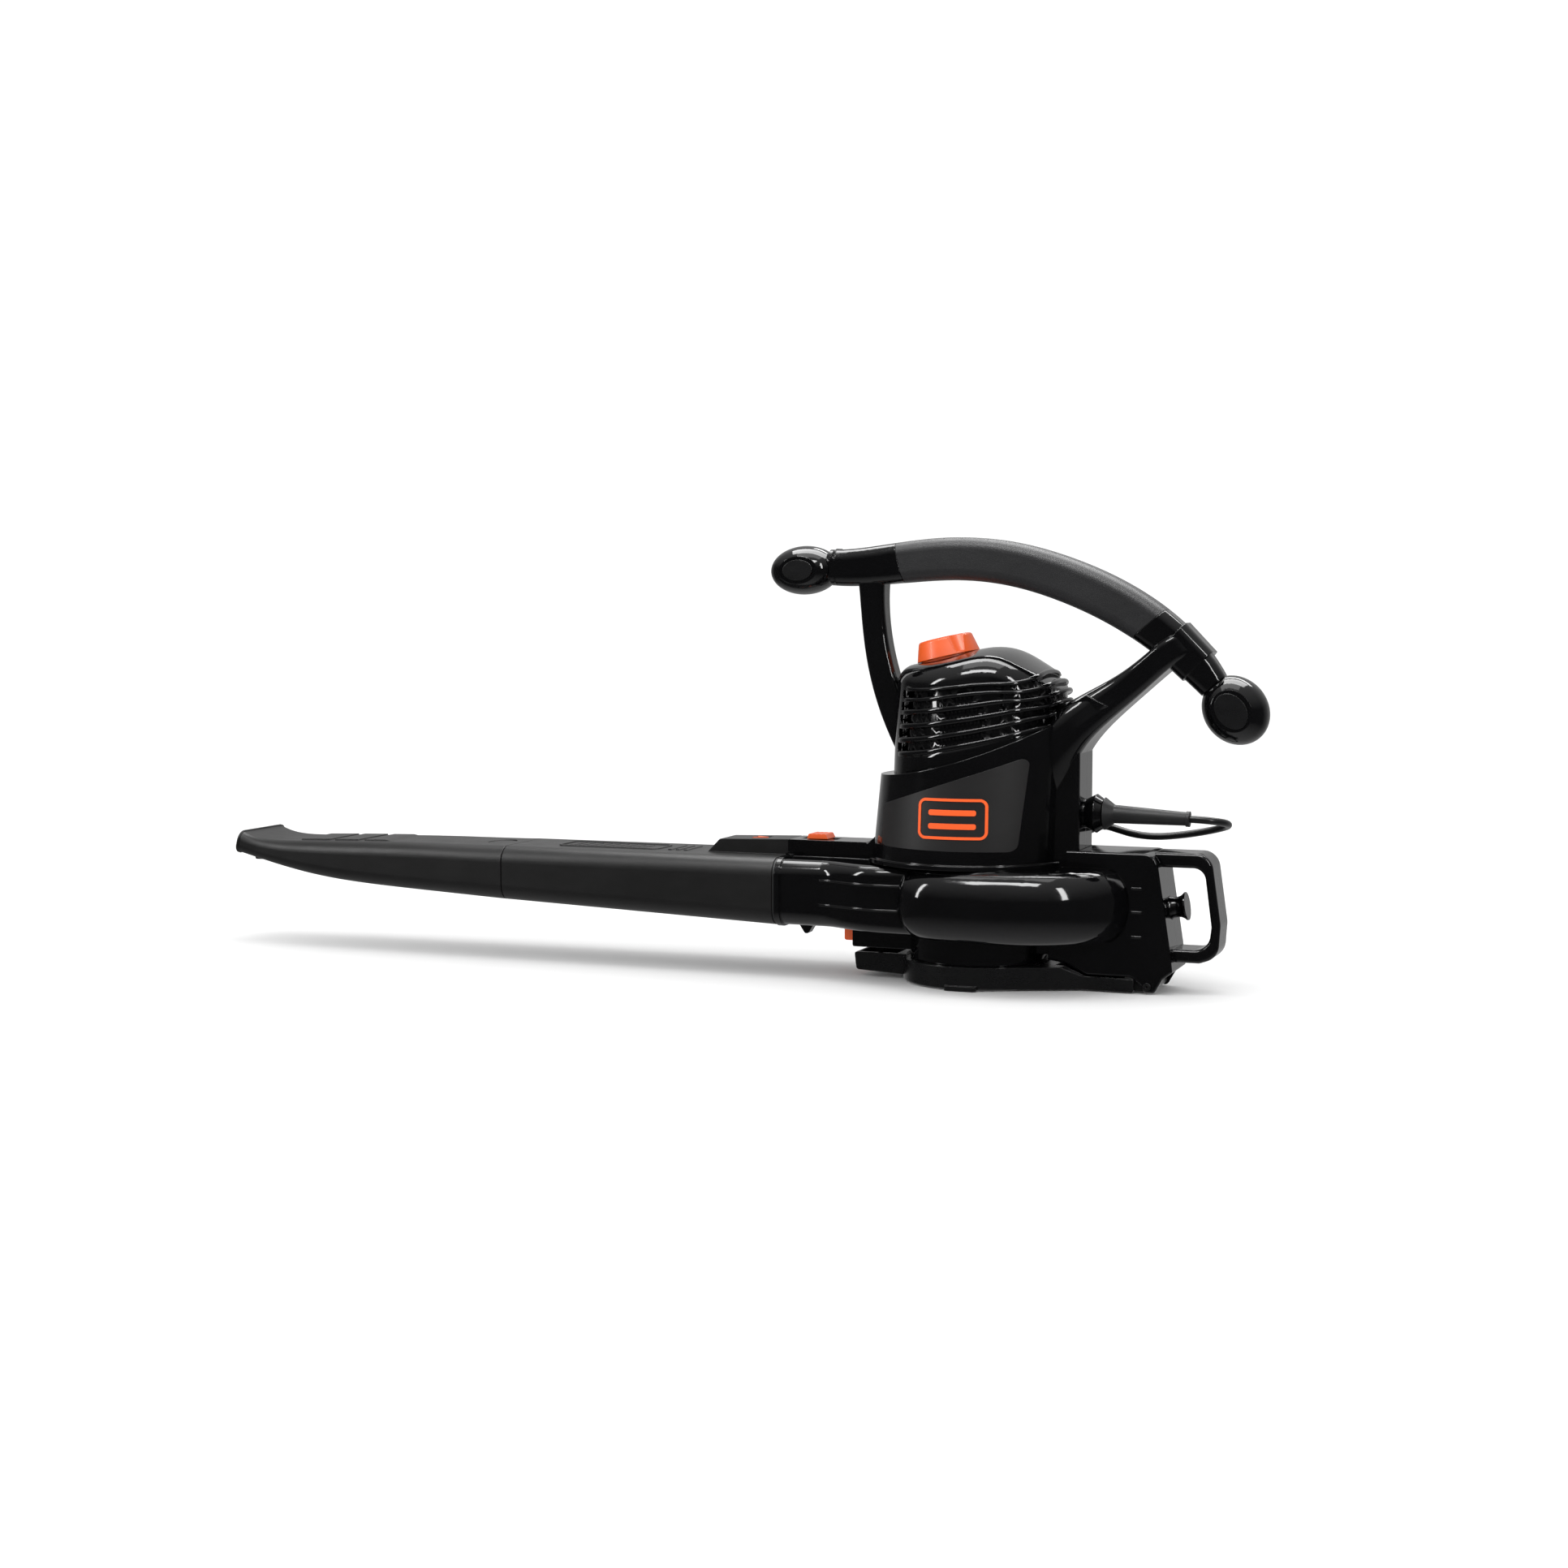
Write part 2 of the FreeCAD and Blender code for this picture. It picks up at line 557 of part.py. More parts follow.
def rear_frame():
    """Hollow rear box with the carrying loop, hinge ears and sloped underside."""
    outline = [(72, 25.5, 0), (88, 23.2, 4), (107, 14.0, 4), (147, 14.0, 3), (156, 7, 2), (159, 0.6, 4),
               (168, 0.6, 4), (175, 13, 3), (184, 20, 2), (181.5, 40, 0), (168.5, 124, 13), (88, 124, 0),
               (88, 109.4, 0), (72, 109.4, 0)]
    shell = side_plate(outline, -FRAME_HALF, FRAME_HALF)
    shell = soften(shell, 2.2, lambda b: b.YLength < 0.01 and b.XMin > 86 and b.ZMin > 18 and b.XMax > 100)
    outer_loop = side_plate([(165, 27.5, 0), (205, 27.5, 0), (221.5, 33, 16), (223.5, 62, 20),
                             (214.5, 124.5, 15), (165, 124.5, 0)], -18.5, 18.5)
    hand_gap = side_plate([(150, 39.3, 0), (213, 39.3, 14), (215.3, 60, 8), (208.5, 111.4, 11),
                           (150, 111.4, 0)], -60, 60)
    loop = outer_loop.cut(hand_gap)
    loop = soften(loop, 3.2, lambda b: b.YLength < 0.01 and b.XMax > 186)
    inner_outline = [(60, 29, 0), (88, 26.2, 0), (108, 17, 0), (150, 17, 0), (176, 24, 0), (178, 42, 0),
                     (165.5, 121, 10), (91, 121, 0), (91, 106.4, 0), (60, 106.4, 0)]
    room = side_plate(inner_outline, -FRAME_HALF + WALL, FRAME_HALF - WALL)
    knuckle_room = side_plate([(149, -5, 0), (178, -5, 0), (178, 12, 0), (170, 16.5, 4), (149, 16.5, 0)],
                              -FRAME_HALF + 4, FRAME_HALF - 4)
    shape = shell.fuse(loop).cut([room, knuckle_room, scroll_solid(-0.3), duct_solid(-0.3)])
    shape = shape.cut(rod(RING_RADIUS + 0.5, (1, 0, 0), (1, 0, 80)))
    shape = shape.cut(rod(PIN_RADIUS + 0.03, (HINGE_X, -40, HINGE_Z), (HINGE_X, 40, HINGE_Z)))
    ledges = [box(147, 156, side * 29 - 1.6, side * 29 + 1.6, z - 0.8, z + 0.8)
              for side in (-1, 1) for z in (50, 72, 93)]
    shape = shape.fuse(ledges).cut(scroll_solid(-0.3))
    shape = shape.cut([screw_hole(*place) for place in FRAME_SCREWS])
    spine_room = box(60, 98.6, -27.6, 27.6, 100, 130).fuse(skirt_solid(-0.3))
    return largest(shape.cut(spine_room))


def cord_hook():
    """Waisted boss on the rear wall that a cord loop hangs on."""
    start = vec(174.5, 0, 73.5)
    waist = Part.Arc(vec(12.5, 0, 0), vec(9.0, 0, 7.5), vec(12.5, 0, 15.0)).toShape()
    edges = [Part.LineSegment(vec(0, 0, 0), vec(12.5, 0, 0)).toShape(), waist,
             Part.LineSegment(vec(12.5, 0, 15.0), vec(12.5, 0, 16.5)).toShape(),
             Part.LineSegment(vec(12.5, 0, 16.5), vec(0, 0, 16.5)).toShape(),
             Part.LineSegment(vec(0, 0, 16.5), vec(0, 0, 0)).toShape()]
    boss = Part.Face(Part.Wire(edges)).revolve(vec(0, 0, 0), vec(0, 0, 1), 360)
    boss.rotate(vec(0, 0, 0), vec(0, 1, 0), 90 - 8.5)
    boss.translate(start)
    outline = [(150, 40, 0), (181.5, 40, 0), (168.5, 124, 13), (150, 124, 0)]
    return largest(boss.cut(side_plate(outline, -40, 40)))


# ---------------------------------------------------------------- inlet cover and its latch
def inlet_cover():
    """Hinged guard: a shallow dish with a grille, a front lug and a rear arm."""
    dish = rod(70.5, (1, 0, 0), (1, 0, RING_BOTTOM - GAP))
    dish = soften(dish, 2.5, lambda b: b.ZMax < 0.1)
    lug = side_plate([(-112.5, 22.8, 2), (-110.5, 6.5, 3), (-60, 4.0, 0), (-60, 22.8, 0)], -25, 25)
    lug = lug.cut(rod(RING_RADIUS + 4, (1, 0, 15), (1, 0, 60)))
    arm = side_plate([(20, RING_BOTTOM - GAP, 0), (20, 1, 0), (150, 1, 2), (150, 12.2, 2), (105.5, 12.2, 4),
                      (86, RING_BOTTOM - GAP, 4)], -70, 70)
    arm = arm.common(flat_plate([(20, -66, 0), (40, -58.5, 0), (104, -31, 20), (151, -31, 0),
                                 (151, 31, 0), (104, 31, 20), (40, 58.5, 0), (20, 66, 0)], 0, 30))
    knuckle = rod(6.0, (HINGE_X, -25.6, HINGE_Z), (HINGE_X, 25.6, HINGE_Z))
    knuckle = knuckle.fuse(box(140, HINGE_X, -25.6, 25.6, 1.5, 11.5))
    foot = flat_plate([(-12, -62, 0), (-12, -74, 3), (18, -74, 3), (18, -62, 0)], 0, 4)
    shape = dish.fuse([lug, arm, knuckle, foot])
    shape = shape.cut(rod(INLET_RADIUS + 5, (0, 0, 4), (0, 0, 30)))
    shape = shape.cut(box(78, 140, -FRAME_HALF + 4, FRAME_HALF - 4, 4, 30))
    shape = shape.cut(box(-109, -72, -21, 21, 8.5, 30).cut(box(-104, -96, 10, 20, 0, 22.8)))
    window = rod(INLET_RADIUS - 2, (0, 0, -1), (0, 0, 6))
    shape = shape.cut(window)
    return shape.cut(rod(PIN_RADIUS + 0.06, (HINGE_X, -40, HINGE_Z), (HINGE_X, 40, HINGE_Z)))


def inlet_grille():
    """Round insert of crossing bars that keeps fingers off the impeller."""
    rim = ring(INLET_RADIUS - 2, INLET_RADIUS - 6, (0, 0, 0.8), (0, 0, 4.5))
    rings = [ring(radius + 1.6, radius, (0, 0, 1.2), (0, 0, 4.0)) for radius in (12, 24, 36)]
    spokes = []
    for index in range(8):
        spoke = box(3, INLET_RADIUS - 4, -1.0, 1.0, 1.0, 4.2)
        spoke.rotate(vec(0, 0, 0), vec(0, 0, 1), 45 * index + 22.5)
        spokes.append(spoke)
    hub = rod(7, (0, 0, 0), (0, 0, 4.5))
    return hub.fuse([rim] + rings + spokes)


def hinge_pin():
    pin = rod(PIN_RADIUS, (HINGE_X, -FRAME_HALF - 0.4, HINGE_Z), (HINGE_X, FRAME_HALF + 0.4, HINGE_Z))
    head = rod(3.4, (HINGE_X, -FRAME_HALF - 1.6, HINGE_Z), (HINGE_X, -FRAME_HALF - 0.1, HINGE_Z))
    socket = rod(1.3, (HINGE_X, -FRAME_HALF - 2, HINGE_Z), (HINGE_X, -FRAME_HALF + 1, HINGE_Z))
    return pin.fuse(head).cut(socket)


def cover_latch():
    """Sliding button that holds the cover's lug."""
    button = side_plate([(-128, 30.6, 2), (-113, 30.6, 0), (-113, 43, 0), (-128, 43, 2)], -8.6, 8.6)
    stem = box(-114, -104.5, -6, 6, 33, 42)
    post = rod(1.6, (-105, 0, 37.5), (-99, 0, 37.5))
    return button.fuse([stem, post])


def latch_spring():
    return coil(3.0, 0.45, 3.1, (-103.9, 0, 37.5), (1, 0, 0), 19.3)


def interlock_plunger():
    """Pin that the closed cover holds up against the interlock switch."""
    head = rod(2.6, (-100, 15, 23.1), (-100, 15, 33.4))
    collar = rod(3.4, (-100, 15, 33.4), (-100, 15, 35.0))
    stem = rod(1.1, (-100, 15, 35.0), (-100, 15, 40.8))
    return head.fuse([collar, stem])


def interlock_switch():
    """Small snap switch with two blade terminals."""
    body = box(-111.5, -80, 11.0, 19.5, 41.2, 46.7)
    terminals = [box(x, x + 4, 14.8, 15.6, 36.5, 41.4) for x in (-94, -86)]
    return body.fuse(terminals)


def plunger_spring():
    return coil(2.1, 0.35, 1.6, (-100, 15, 35.45), (0, 0, 1), 5.3)


# ---------------------------------------------------------------- tube and nozzle
def tube_outer(inset):
    rear = duct_section(TUBE_REAR_X, TUBE_REAR_HALF, TUBE_REAR_Z, 16, inset)
    front = duct_section(TUBE_FRONT_X + 0.5, TUBE_FRONT_HALF, TUBE_FRONT_Z, 15, inset)
    return loft([rear, front], True)


def blower_tube():
    """Main tube with the latch box at the rear, a framed panel of bars and a spigot in front."""
    latch = side_plate([(-264, 106, 0), (-249, 121.5, 3), (-180.4, 123.5, 0.8), (-180.4, 110, 0),
                        (TUBE_REAR_X, 110, 0), (TUBE_REAR_X, 106, 0)], -18.5, 18.5)
    nose = loft([duct_section(TUBE_FRONT_X - NOZZLE_SOCKET, TUBE_FRONT_HALF - 4.0, (61.3, 105.3), 11),
                 duct_section(TUBE_FRONT_X + 4, TUBE_FRONT_HALF - 2.7, (59.6, 105.8), 12)], True)
    ribs = [side_plate([(x, 107.0, 0), (x, 109.9, 0.8), (x + 4, 109.9, 0.8), (x + 4, 107.0, 0)], -19, 19)
            for x in (-286, -294, -302)]
    frame = flat_plate([(-418, -21, 8), (-312, -21, 8), (-312, 21, 8), (-418, 21, 8)], 107.4, 109.8)
    frame = frame.cut(flat_plate([(-415.5, -18.5, 5.5), (-314.5, -18.5, 5.5), (-314.5, 18.5, 5.5),
                                  (-415.5, 18.5, 5.5)], 107, 110))
    bars = [flat_plate([(x, -12, 0), (x + 3, -12, 0), (x + 7, 12, 0), (x + 4, 12, 0)], 107.4, 109.4)
            for x in range(-408, -328, 9)]
    outside = tube_outer(0).fuse([latch, nose, frame] + ribs + bars)
    nose_bore = loft([duct_section(TUBE_FRONT_X - NOZZLE_SOCKET - 1, TUBE_FRONT_HALF - 6.4, (63.7, 102.9), 9),
                      duct_section(TUBE_FRONT_X + 5, TUBE_FRONT_HALF - 5.1, (62.0, 103.4), 10)], True)
    latch_room = side_plate([(-246, 107, 0), (-246, 118.5, 2), (-180, 120.5, 0), (-180, 107, 0)], -15, 15)
    bore = loft([duct_section(TUBE_REAR_X + 1, TUBE_REAR_HALF, TUBE_REAR_Z, 16, TUBE_WALL),
                 duct_section(TUBE_FRONT_X + 4, TUBE_FRONT_HALF, TUBE_FRONT_Z, 15, TUBE_WALL)], True)
    latch_room = latch_room.cut(tube_outer(0))
    mark_seat = side_plate([(-221, 120.6, 0), (-205, 121.2, 0), (-205, 130, 0), (-221, 130, 0)], -9, 9)
    return largest(outside.cut([bore, nose_bore, latch_room, mark_seat]))


def tube_lock_mark():
    """Small coloured arrow set into the latch box."""
    outline = [(-220.5, 7, 0), (-206, 0, 0.6), (-220.5, -7, 0), (-216.5, 0, 0)]
    return flat_plate(outline, 121.4, 122.9)


def tube_release_slider():
    """Button with a grip top that slides in the slot of the housing's latch box."""
    button = side_plate([(-164.5, 123.9, 0), (-163.0, 128.5, 1.5), (-146.5, 128.5, 1.5),
                         (-144, 123.9, 0)], -10.5, 10.5)
    foot = box(-163.5, -145, -7.6, 7.6, 113.5, 124)
    grooves = [rod(0.9, (x, -12, 128.9), (x, 12, 128.9)) for x in (-159.5, -155, -150.5)]
    return button.fuse(foot).cut(grooves)


def release_spring():
    return coil(2.6, 0.45, 1.5, (-144.6, 0, 118), (1, 0, 0), 7.8)


def nozzle_sections(inset):
    stations = [(TUBE_FRONT_X - 0.5, 50.0, 56.8, 108.6, 15, 0), (-530, 48.0, 60.0, 108.0, 14, 0),
                (-600, 45.5, 63.6, 107.2, 13, 0), (-660, 43.0, 68.5, 105.6, 12, 0),
                (-708, 41.0, 76.4, 104.2, 10, 0), (-742, 40.5, 84.8, 105.6, 8, 6),
                (-763, 41.5, 90.4, 111.6, 8.5, 14)]
    wires = []
    for x, half, low, high, radius, lean in stations:
        wire = duct_section(x, half, (low, high), radius, inset)
        wire.rotate(vec(x, 0, (low + high) / 2), vec(0, 1, 0), lean)
        wires.append(wire)
    return wires


def concentrator_nozzle():
    """Flattening nozzle with a flared lip, three low pads on top and a stop underneath."""
    rim = nozzle_sections(-1.0)[-1]
    rim_front = rim.copy()
    rim_front.translate(vec(-1.8, 0, 0.4))
    outside = loft(nozzle_sections(0)).fuse(loft([rim, rim_front], True))
    wires = nozzle_sections(2.3)
    inside = loft(wires)
    tail = wires[0].copy()
    tail.translate(vec(3, 0, 0))
    inside = inside.fuse(loft([wires[0], tail], True))
    last = wires[-1].copy()
    last.translate(vec(-9, 0, 4))
    inside = inside.fuse(loft([wires[-1], last], True))
    hook = side_plate([(-766, 92, 0), (-767, 80.5, 2), (-754, 80.5, 3), (-750, 90, 0)], -6, 6)
    pads = [side_plate([(-699, 102.5, 0), (-697.4, 105.9, 0), (-665.4, 107.0, 0), (-664, 102.5, 0)], -28, 28),
            side_plate([(-660, 102.5, 0), (-658.4, 107.1, 0), (-632.4, 107.8, 0), (-631, 102.5, 0)], -29, 29),
            side_plate([(-626.5, 102.5, 0), (-624.9, 107.9, 0), (-602, 108.5, 0), (-584, 105, 0)], -29, 29)]
    shape = outside.fuse([hook] + pads).cut(inside)
    pocket = Part.Ellipse(vec(0, 0, 0), 19, 13).toShape()
    dimple = Part.Face(Part.Wire([pocket])).extrude(vec(0, 0, 4))
    dimple.rotate(vec(0, 0, 0), vec(0, 0, 1), 90)
    dimple.translate(vec(-487, 0, 107.4))
    return largest(shape.cut(dimple))


# ---------------------------------------------------------------- motor and fan
def impeller():
    """Backplate, hub and curved blades, with a shroud ring at the inlet."""
    plate = rod(69, (0, 0, 93), (0, 0, 96))
    hub = cone(16, 11, (0, 0, 66), (0, 0, 94))
    inlet_ring = ring(67, 54, (0, 0, 50), (0, 0, 52.5))
    blades = []
    for index in range(12):
        start = vec(20, 0, 51)
        bend = vec(45, 7, 51)
        end = vec(62.5, 21, 51)
        back = vec(61.5, 23, 51)
        bend_back = vec(44, 9, 51)
        start_back = vec(19.5, 2, 51)
        outline = Part.Wire([Part.Arc(start, bend, end).toShape(), Part.LineSegment(end, back).toShape(),
                             Part.Arc(back, bend_back, start_back).toShape(),
                             Part.LineSegment(start_back, start).toShape()])
        blade = Part.Face(outline).extrude(vec(0, 0, 43.5))
        blade.rotate(vec(0, 0, 0), vec(0, 0, 1), 30 * index)
        blades.append(blade)
    eye = cone(54, 26, (0, 0, 50), (0, 0, 64))
    core = plate.fuse([hub] + blades).cut(eye.cut(hub))
    bore = rod(SHAFT_RADIUS, (0, 0, 40), (0, 0, 120))
    return largest(core.fuse(inlet_ring).cut(bore))


def impeller_washer():
    return ring(9, SHAFT_RADIUS, (0, 0, 64.2), (0, 0, 66))


def impeller_nut():
    points = []
    for index in range(6):
        turn = math.radians(60 * index)
        points.append((8.6 * math.cos(turn), 8.6 * math.sin(turn), 0.5))
    return flat_plate(points, 57, 64.2).cut(rod(SHAFT_RADIUS, (0, 0, 50), (0, 0, 70)))


def motor_shaft():
    return rod(SHAFT_RADIUS, (0, 0, 55), (0, 0, 262))


def armature_core():
    """Laminated core with slots around its edge."""
    core = ring(ARMATURE_RADIUS, SHAFT_RADIUS, (0, 0, ARMATURE_Z[0]), (0, 0, ARMATURE_Z[1]))
    slots = []
    for index in range(12):
        slot = box(16.5, 26, -1.3, 1.3, ARMATURE_Z[0] - 1, ARMATURE_Z[1] + 1)
        slot.rotate(vec(0, 0, 0), vec(0, 0, 1), 30 * index)
        slots.append(slot)
    return core.cut(slots)


def armature_windings():
    low = ring(22, SHAFT_RADIUS + 0.5, (0, 0, ARMATURE_Z[0] - 9), (0, 0, ARMATURE_Z[0]))
    high = ring(22, SHAFT_RADIUS + 0.5, (0, 0, ARMATURE_Z[1]), (0, 0, ARMATURE_Z[1] + 9))
    low = soften(low, 3, lambda b: b.XLength > 30 and b.ZMax < ARMATURE_Z[0] - 8)
    high = soften(high, 3, lambda b: b.XLength > 30 and b.ZMin > ARMATURE_Z[1] + 8)
    return Part.makeCompound([low, high])


def commutator():
    drum = ring(12, SHAFT_RADIUS, (0, 0, 224.5), (0, 0, 241))
    cuts = []
    for index in range(24):
        cut = box(11, 13, -0.3, 0.3, 226, 242)
        cut.rotate(vec(0, 0, 0), vec(0, 0, 1), 15 * index)
        cuts.append(cut)
    return drum.cut(cuts)


def cooling_fan():
    """Small fan above the lower bearing that draws air down through the motor."""
    hub = ring(14, SHAFT_RADIUS, (0, 0, 130), (0, 0, 144))
    plate = ring(54, 12, (0, 0, 130), (0, 0, 132))
    blades = []
    for index in range(11):
        blade = box(12, 53, -0.8, 0.8, 131, 143)
        blade.rotate(vec(20, 0, 0), vec(0, 0, 1), 22)
        blade.rotate(vec(0, 0, 0), vec(0, 0, 1), 360 / 11 * index)
        blades.append(blade)
    return hub.fuse([plate] + blades).cut(rod(SHAFT_RADIUS, (0, 0, 100), (0, 0, 160)))


def ball_bearing(z, outer, height):
    """Sealed bearing, one solid per bearing."""
    body = ring(outer, SHAFT_RADIUS + 0.03, (0, 0, z), (0, 0, z + height))
    grooves = ring(outer - 2.2, SHAFT_RADIUS + 2.2, (0, 0, z - 1), (0, 0, z + 0.6))
    return body.cut(grooves)


def stator_core():
    """Two-pole laminated ring."""
    yoke = ring(STATOR_RADIUS, 36, (0, 0, 166), (0, 0, 216))
    poles = ring(37, ARMATURE_RADIUS + 0.8, (0, 0, 166), (0, 0, 216))
    poles = poles.common(box(-40, 40, -24, 24, 160, 220))
    holes = [rod(2.2, (x, y, 160), (x, y, 220)) for x, y in ((0, 40), (0, -40))]
    return yoke.fuse(poles).cut(holes)


def field_coils():
    """Wound coils wrapped round the ends of each pole."""
    coils = []
    for side in (-1, 1):
        loop = ring(35.5, 27.5, (0, 0, 158), (0, 0, 165.8))
        top = ring(35.5, 27.5, (0, 0, 216.2), (0, 0, 223))
        legs = ring(35.5, 27.5, (0, 0, 165), (0, 0, 217))
        wedge = box(0.5, 50, -33, 33, 150, 230)
        leg_zone = box(0.5, 50, -33, -24.3, 150, 230).fuse(box(0.5, 50, 24.3, 33, 150, 230))
        shape = loop.fuse(top).common(wedge).fuse(legs.common(leg_zone))
        if side < 0:
            shape = shape.mirror(vec(0, 0, 0), vec(1, 0, 0))
        coils.append(shape)
    return Part.makeCompound(coils)


def motor_bracket():
    """Lower end frame: seats the lower bearing and stands on the fan housing lid."""
    plate = rod(60, (0, 0, 109.3), (0, 0, 112.3))
    cup = rod(21, (0, 0, 109.3), (0, 0, 121.5))
    wall = ring(60, 57.5, (0, 0, 110), (0, 0, 156))
    shelf = ring(60, 38.5, (0, 0, 155), (0, 0, 157.6))
    lugs = [rod(3.5, (x, y, 156), (x, y, 165.8)) for x in (-28.3, 28.3) for y in (-28.3, 28.3)]
    shape = plate.fuse([cup, wall, shelf] + lugs)
    shape = shape.cut(rod(16.02, (0, 0, BEARING_LOW_Z - 0.02), (0, 0, 130)))
    return largest(shape.cut(rod(8, (0, 0, 100), (0, 0, 130))))


def upper_bracket():
    """Bridge over the commutator: seats the upper bearing and carries the brushes."""
    bridge = box(-42, 42, -15, 15, 244, 247).fuse(rod(15, (0, 0, 244), (0, 0, 258)))
    legs = [box(-44, -38.5, -12, 12, 216.3, 247), box(38.5, 44, -12, 12, 216.3, 247)]
    shape = bridge.fuse(legs)
    shape = shape.cut(rod(11.02, (0, 0, BEARING_HIGH_Z - 0.02), (0, 0, 270)))
    return shape.cut(rod(7, (0, 0, 240), (0, 0, 270)))


def brush_holders():
    holders = []
    for side in (-1, 1):
        x0, x1 = sorted((side * 13.5, side * 38.2))
        body = box(x0, x1, -6.5, 6.5, 227, 239.5)
        channel = box(x0 - 1, x1 + 1, -4.1, 4.1, 229, 237.5)
        holders.append(body.cut(channel))
    return Part.makeCompound(holders)


def carbon_brushes():
    brushes = []
    for side in (-1, 1):
        x0, x1 = sorted((side * 12.4, side * 28.0))
        brushes.append(box(x0, x1, -3.9, 3.9, 229.2, 237.3))
    return Part.makeCompound(brushes)


def brush_springs():
    springs = [coil(2.8, 0.4, 2.4, (28.6, 0, 233.2), (1, 0, 0), 8.6),
               coil(2.8, 0.4, 2.4, (-28.6, 0, 233.2), (-1, 0, 0), 8.6)]
    return Part.makeCompound(springs)


# ---------------------------------------------------------------- controls
def speed_knob():
    """Round knob with three finger scallops and a spindle socket."""
    body = cone(KNOB_RADIUS, KNOB_RADIUS - 4.5, (0, 0, 0), (0, 0, KNOB_HEIGHT))
    body = soften(body, 3.0, lambda b: b.ZMin > KNOB_HEIGHT - 0.5)
    scallops = []
    for index in range(3):
        scallop = cone(9, 14, (36, 0, 3), (34, 0, KNOB_HEIGHT + 2))
        scallop.rotate(vec(0, 0, 0), vec(0, 0, 1), 120 * index - 50)
        scallops.append(scallop)
    body = body.cut(scallops)
    under = rod(25.5, (0, 0, -5.5), (0, 0, 1))
    hollow = ring(22.5, 8.5, (0, 0, -6), (0, 0, 11))
    pointer = box(-1.2, 1.2, 8, 22, KNOB_HEIGHT - 0.5, KNOB_HEIGHT + 0.5)
    shape = body.fuse([under, pointer]).cut([hollow, rod(4.0, (0, 0, -8), (0, 0, 9))])
    return knob_frame(shape)


def switch_spindle():
    """Spindle that joins the knob to the speed switch, with a flat on one side."""
    spindle = rod(3.95, (0, 0, -17.5), (0, 0, 8.98))
    return knob_frame(spindle)


def speed_switch():
    """Rotary switch body under the knob, with terminals."""
    body = box(-16, 16, -14, 14, -30, -17.0)
    bush = ring(5.9, 4.05, (0, 0, -17.2), (0, 0, -7.5))
    terminals = [box(x, x + 5, 13.5, 18, -27, -26) for x in (-12, -3, 6)]
    shape = body.fuse([bush] + terminals).cut(rod(4.05, (0, 0, -19), (0, 0, -8)))
    return knob_frame(shape)


# ---------------------------------------------------------------- cord and its fittings
def cord_gland():
    """Glossy bell on the spine that clamps the strain relief."""
    outer = cone(12.5, 17.5, (98.3, 0, 155.5), (108.3, 0, 155.5))
    outer = outer.fuse(cone(17.5, 12.5, (108.3, 0, 155.5), (115.6, 0, 155.5)))
    neck = rod(13.0, (90, 0, 155.5), (98.6, 0, 155.5))
    return outer.fuse(neck).cut(rod(8.7, (80, 0, 155.5), (120, 0, 155.5)))


def strain_relief():
    """Rubber sleeve, flared at the gland and tapering to a small end ring."""
    flare = cone(14.6, 8.2, (115.8, 0, 155.5), (124.5, 0, 155.5))
    sleeve = cone(8.4, 6.0, (122.0, 0, 155.5), (RELIEF_END_X - 2, 0, 153.1))
    end = rod(6.9, (RELIEF_END_X - 3.2, 0, 153.1), (RELIEF_END_X, 0, 153.0))
    face = vec(*CORD_POINTS[1]) - vec(*CORD_POINTS[0])
    trim = Part.makeCylinder(20, 10, vec(*CORD_POINTS[0]), face)
    tail = rod(8.6, (88, 0, 155.5), (117, 0, 155.5))
    return flare.fuse([sleeve, end, tail]).cut(trim)


def cord_clamp():
    """Saddle inside the spine that grips the cord."""
    saddle = box(73, 86, -16, 16, 145, 152)
    holes = [rod(CLAMP_SCREW_RADIUS, (79, y, 140), (79, y, 160)) for y in (-11.5, 11.5)]
    return saddle.cut(holes + [rod(8.7, (70, 0, 155.5), (90, 0, 155.5))])


def cord_clamp_screws():
    screws = []
    for y in (-11.5, 11.5):
        shank = rod(CLAMP_SCREW_RADIUS, (79, y, 140), (79, y, 152))
        head = rod(2.7, (79, y, 152), (79, y, 154.0))
        screws.append(shank.fuse(head))
    return Part.makeCompound(screws)


def cord_path():
    """Straight runs joined by tangent arcs along the cord's points; prints each arc's radius."""
    points = [vec(*point) for point in CORD_POINTS]
    edges = []
    last = points[0]
    for index in range(1, len(points) - 1):
        corner = points[index]
        before = points[index - 1] - corner
        after = points[index + 1] - corner
        half_turn = (math.pi - before.getAngle(after)) / 2
        shorter = min(before.Length, after.Length)
        radius = 0.45 * shorter / math.tan(half_turn)
        print("cord corner", index, "radius", round(radius, 1), "mm")
        first = corner + before.normalize() * (0.45 * shorter)
        second = corner + after.normalize() * (0.45 * shorter)
        bisector = (before + after).normalize()
        middle = corner + bisector * (radius / math.cos(half_turn) - radius)
        edges.append(Part.LineSegment(last, first).toShape())
        edges.append(Part.Arc(first, middle, second).toShape())
        last = second
    edges.append(Part.LineSegment(last, points[-1]).toShape())
    return Part.Wire(edges)


def power_cord():
    path = cord_path()
    start = path.Vertexes[0].Point
    direction = vec(*CORD_POINTS[1]) - vec(*CORD_POINTS[0])
    profile = Part.Wire([Part.Circle(start, direction, CORD_RADIUS).toShape()])
    tube = path.makePipeShell([profile], True, False)
    print("cord length", round(path.Length, 1), "mm, volume over section x length",
          round(tube.Volume / (math.pi * CORD_RADIUS ** 2 * path.Length), 4))
    return tube


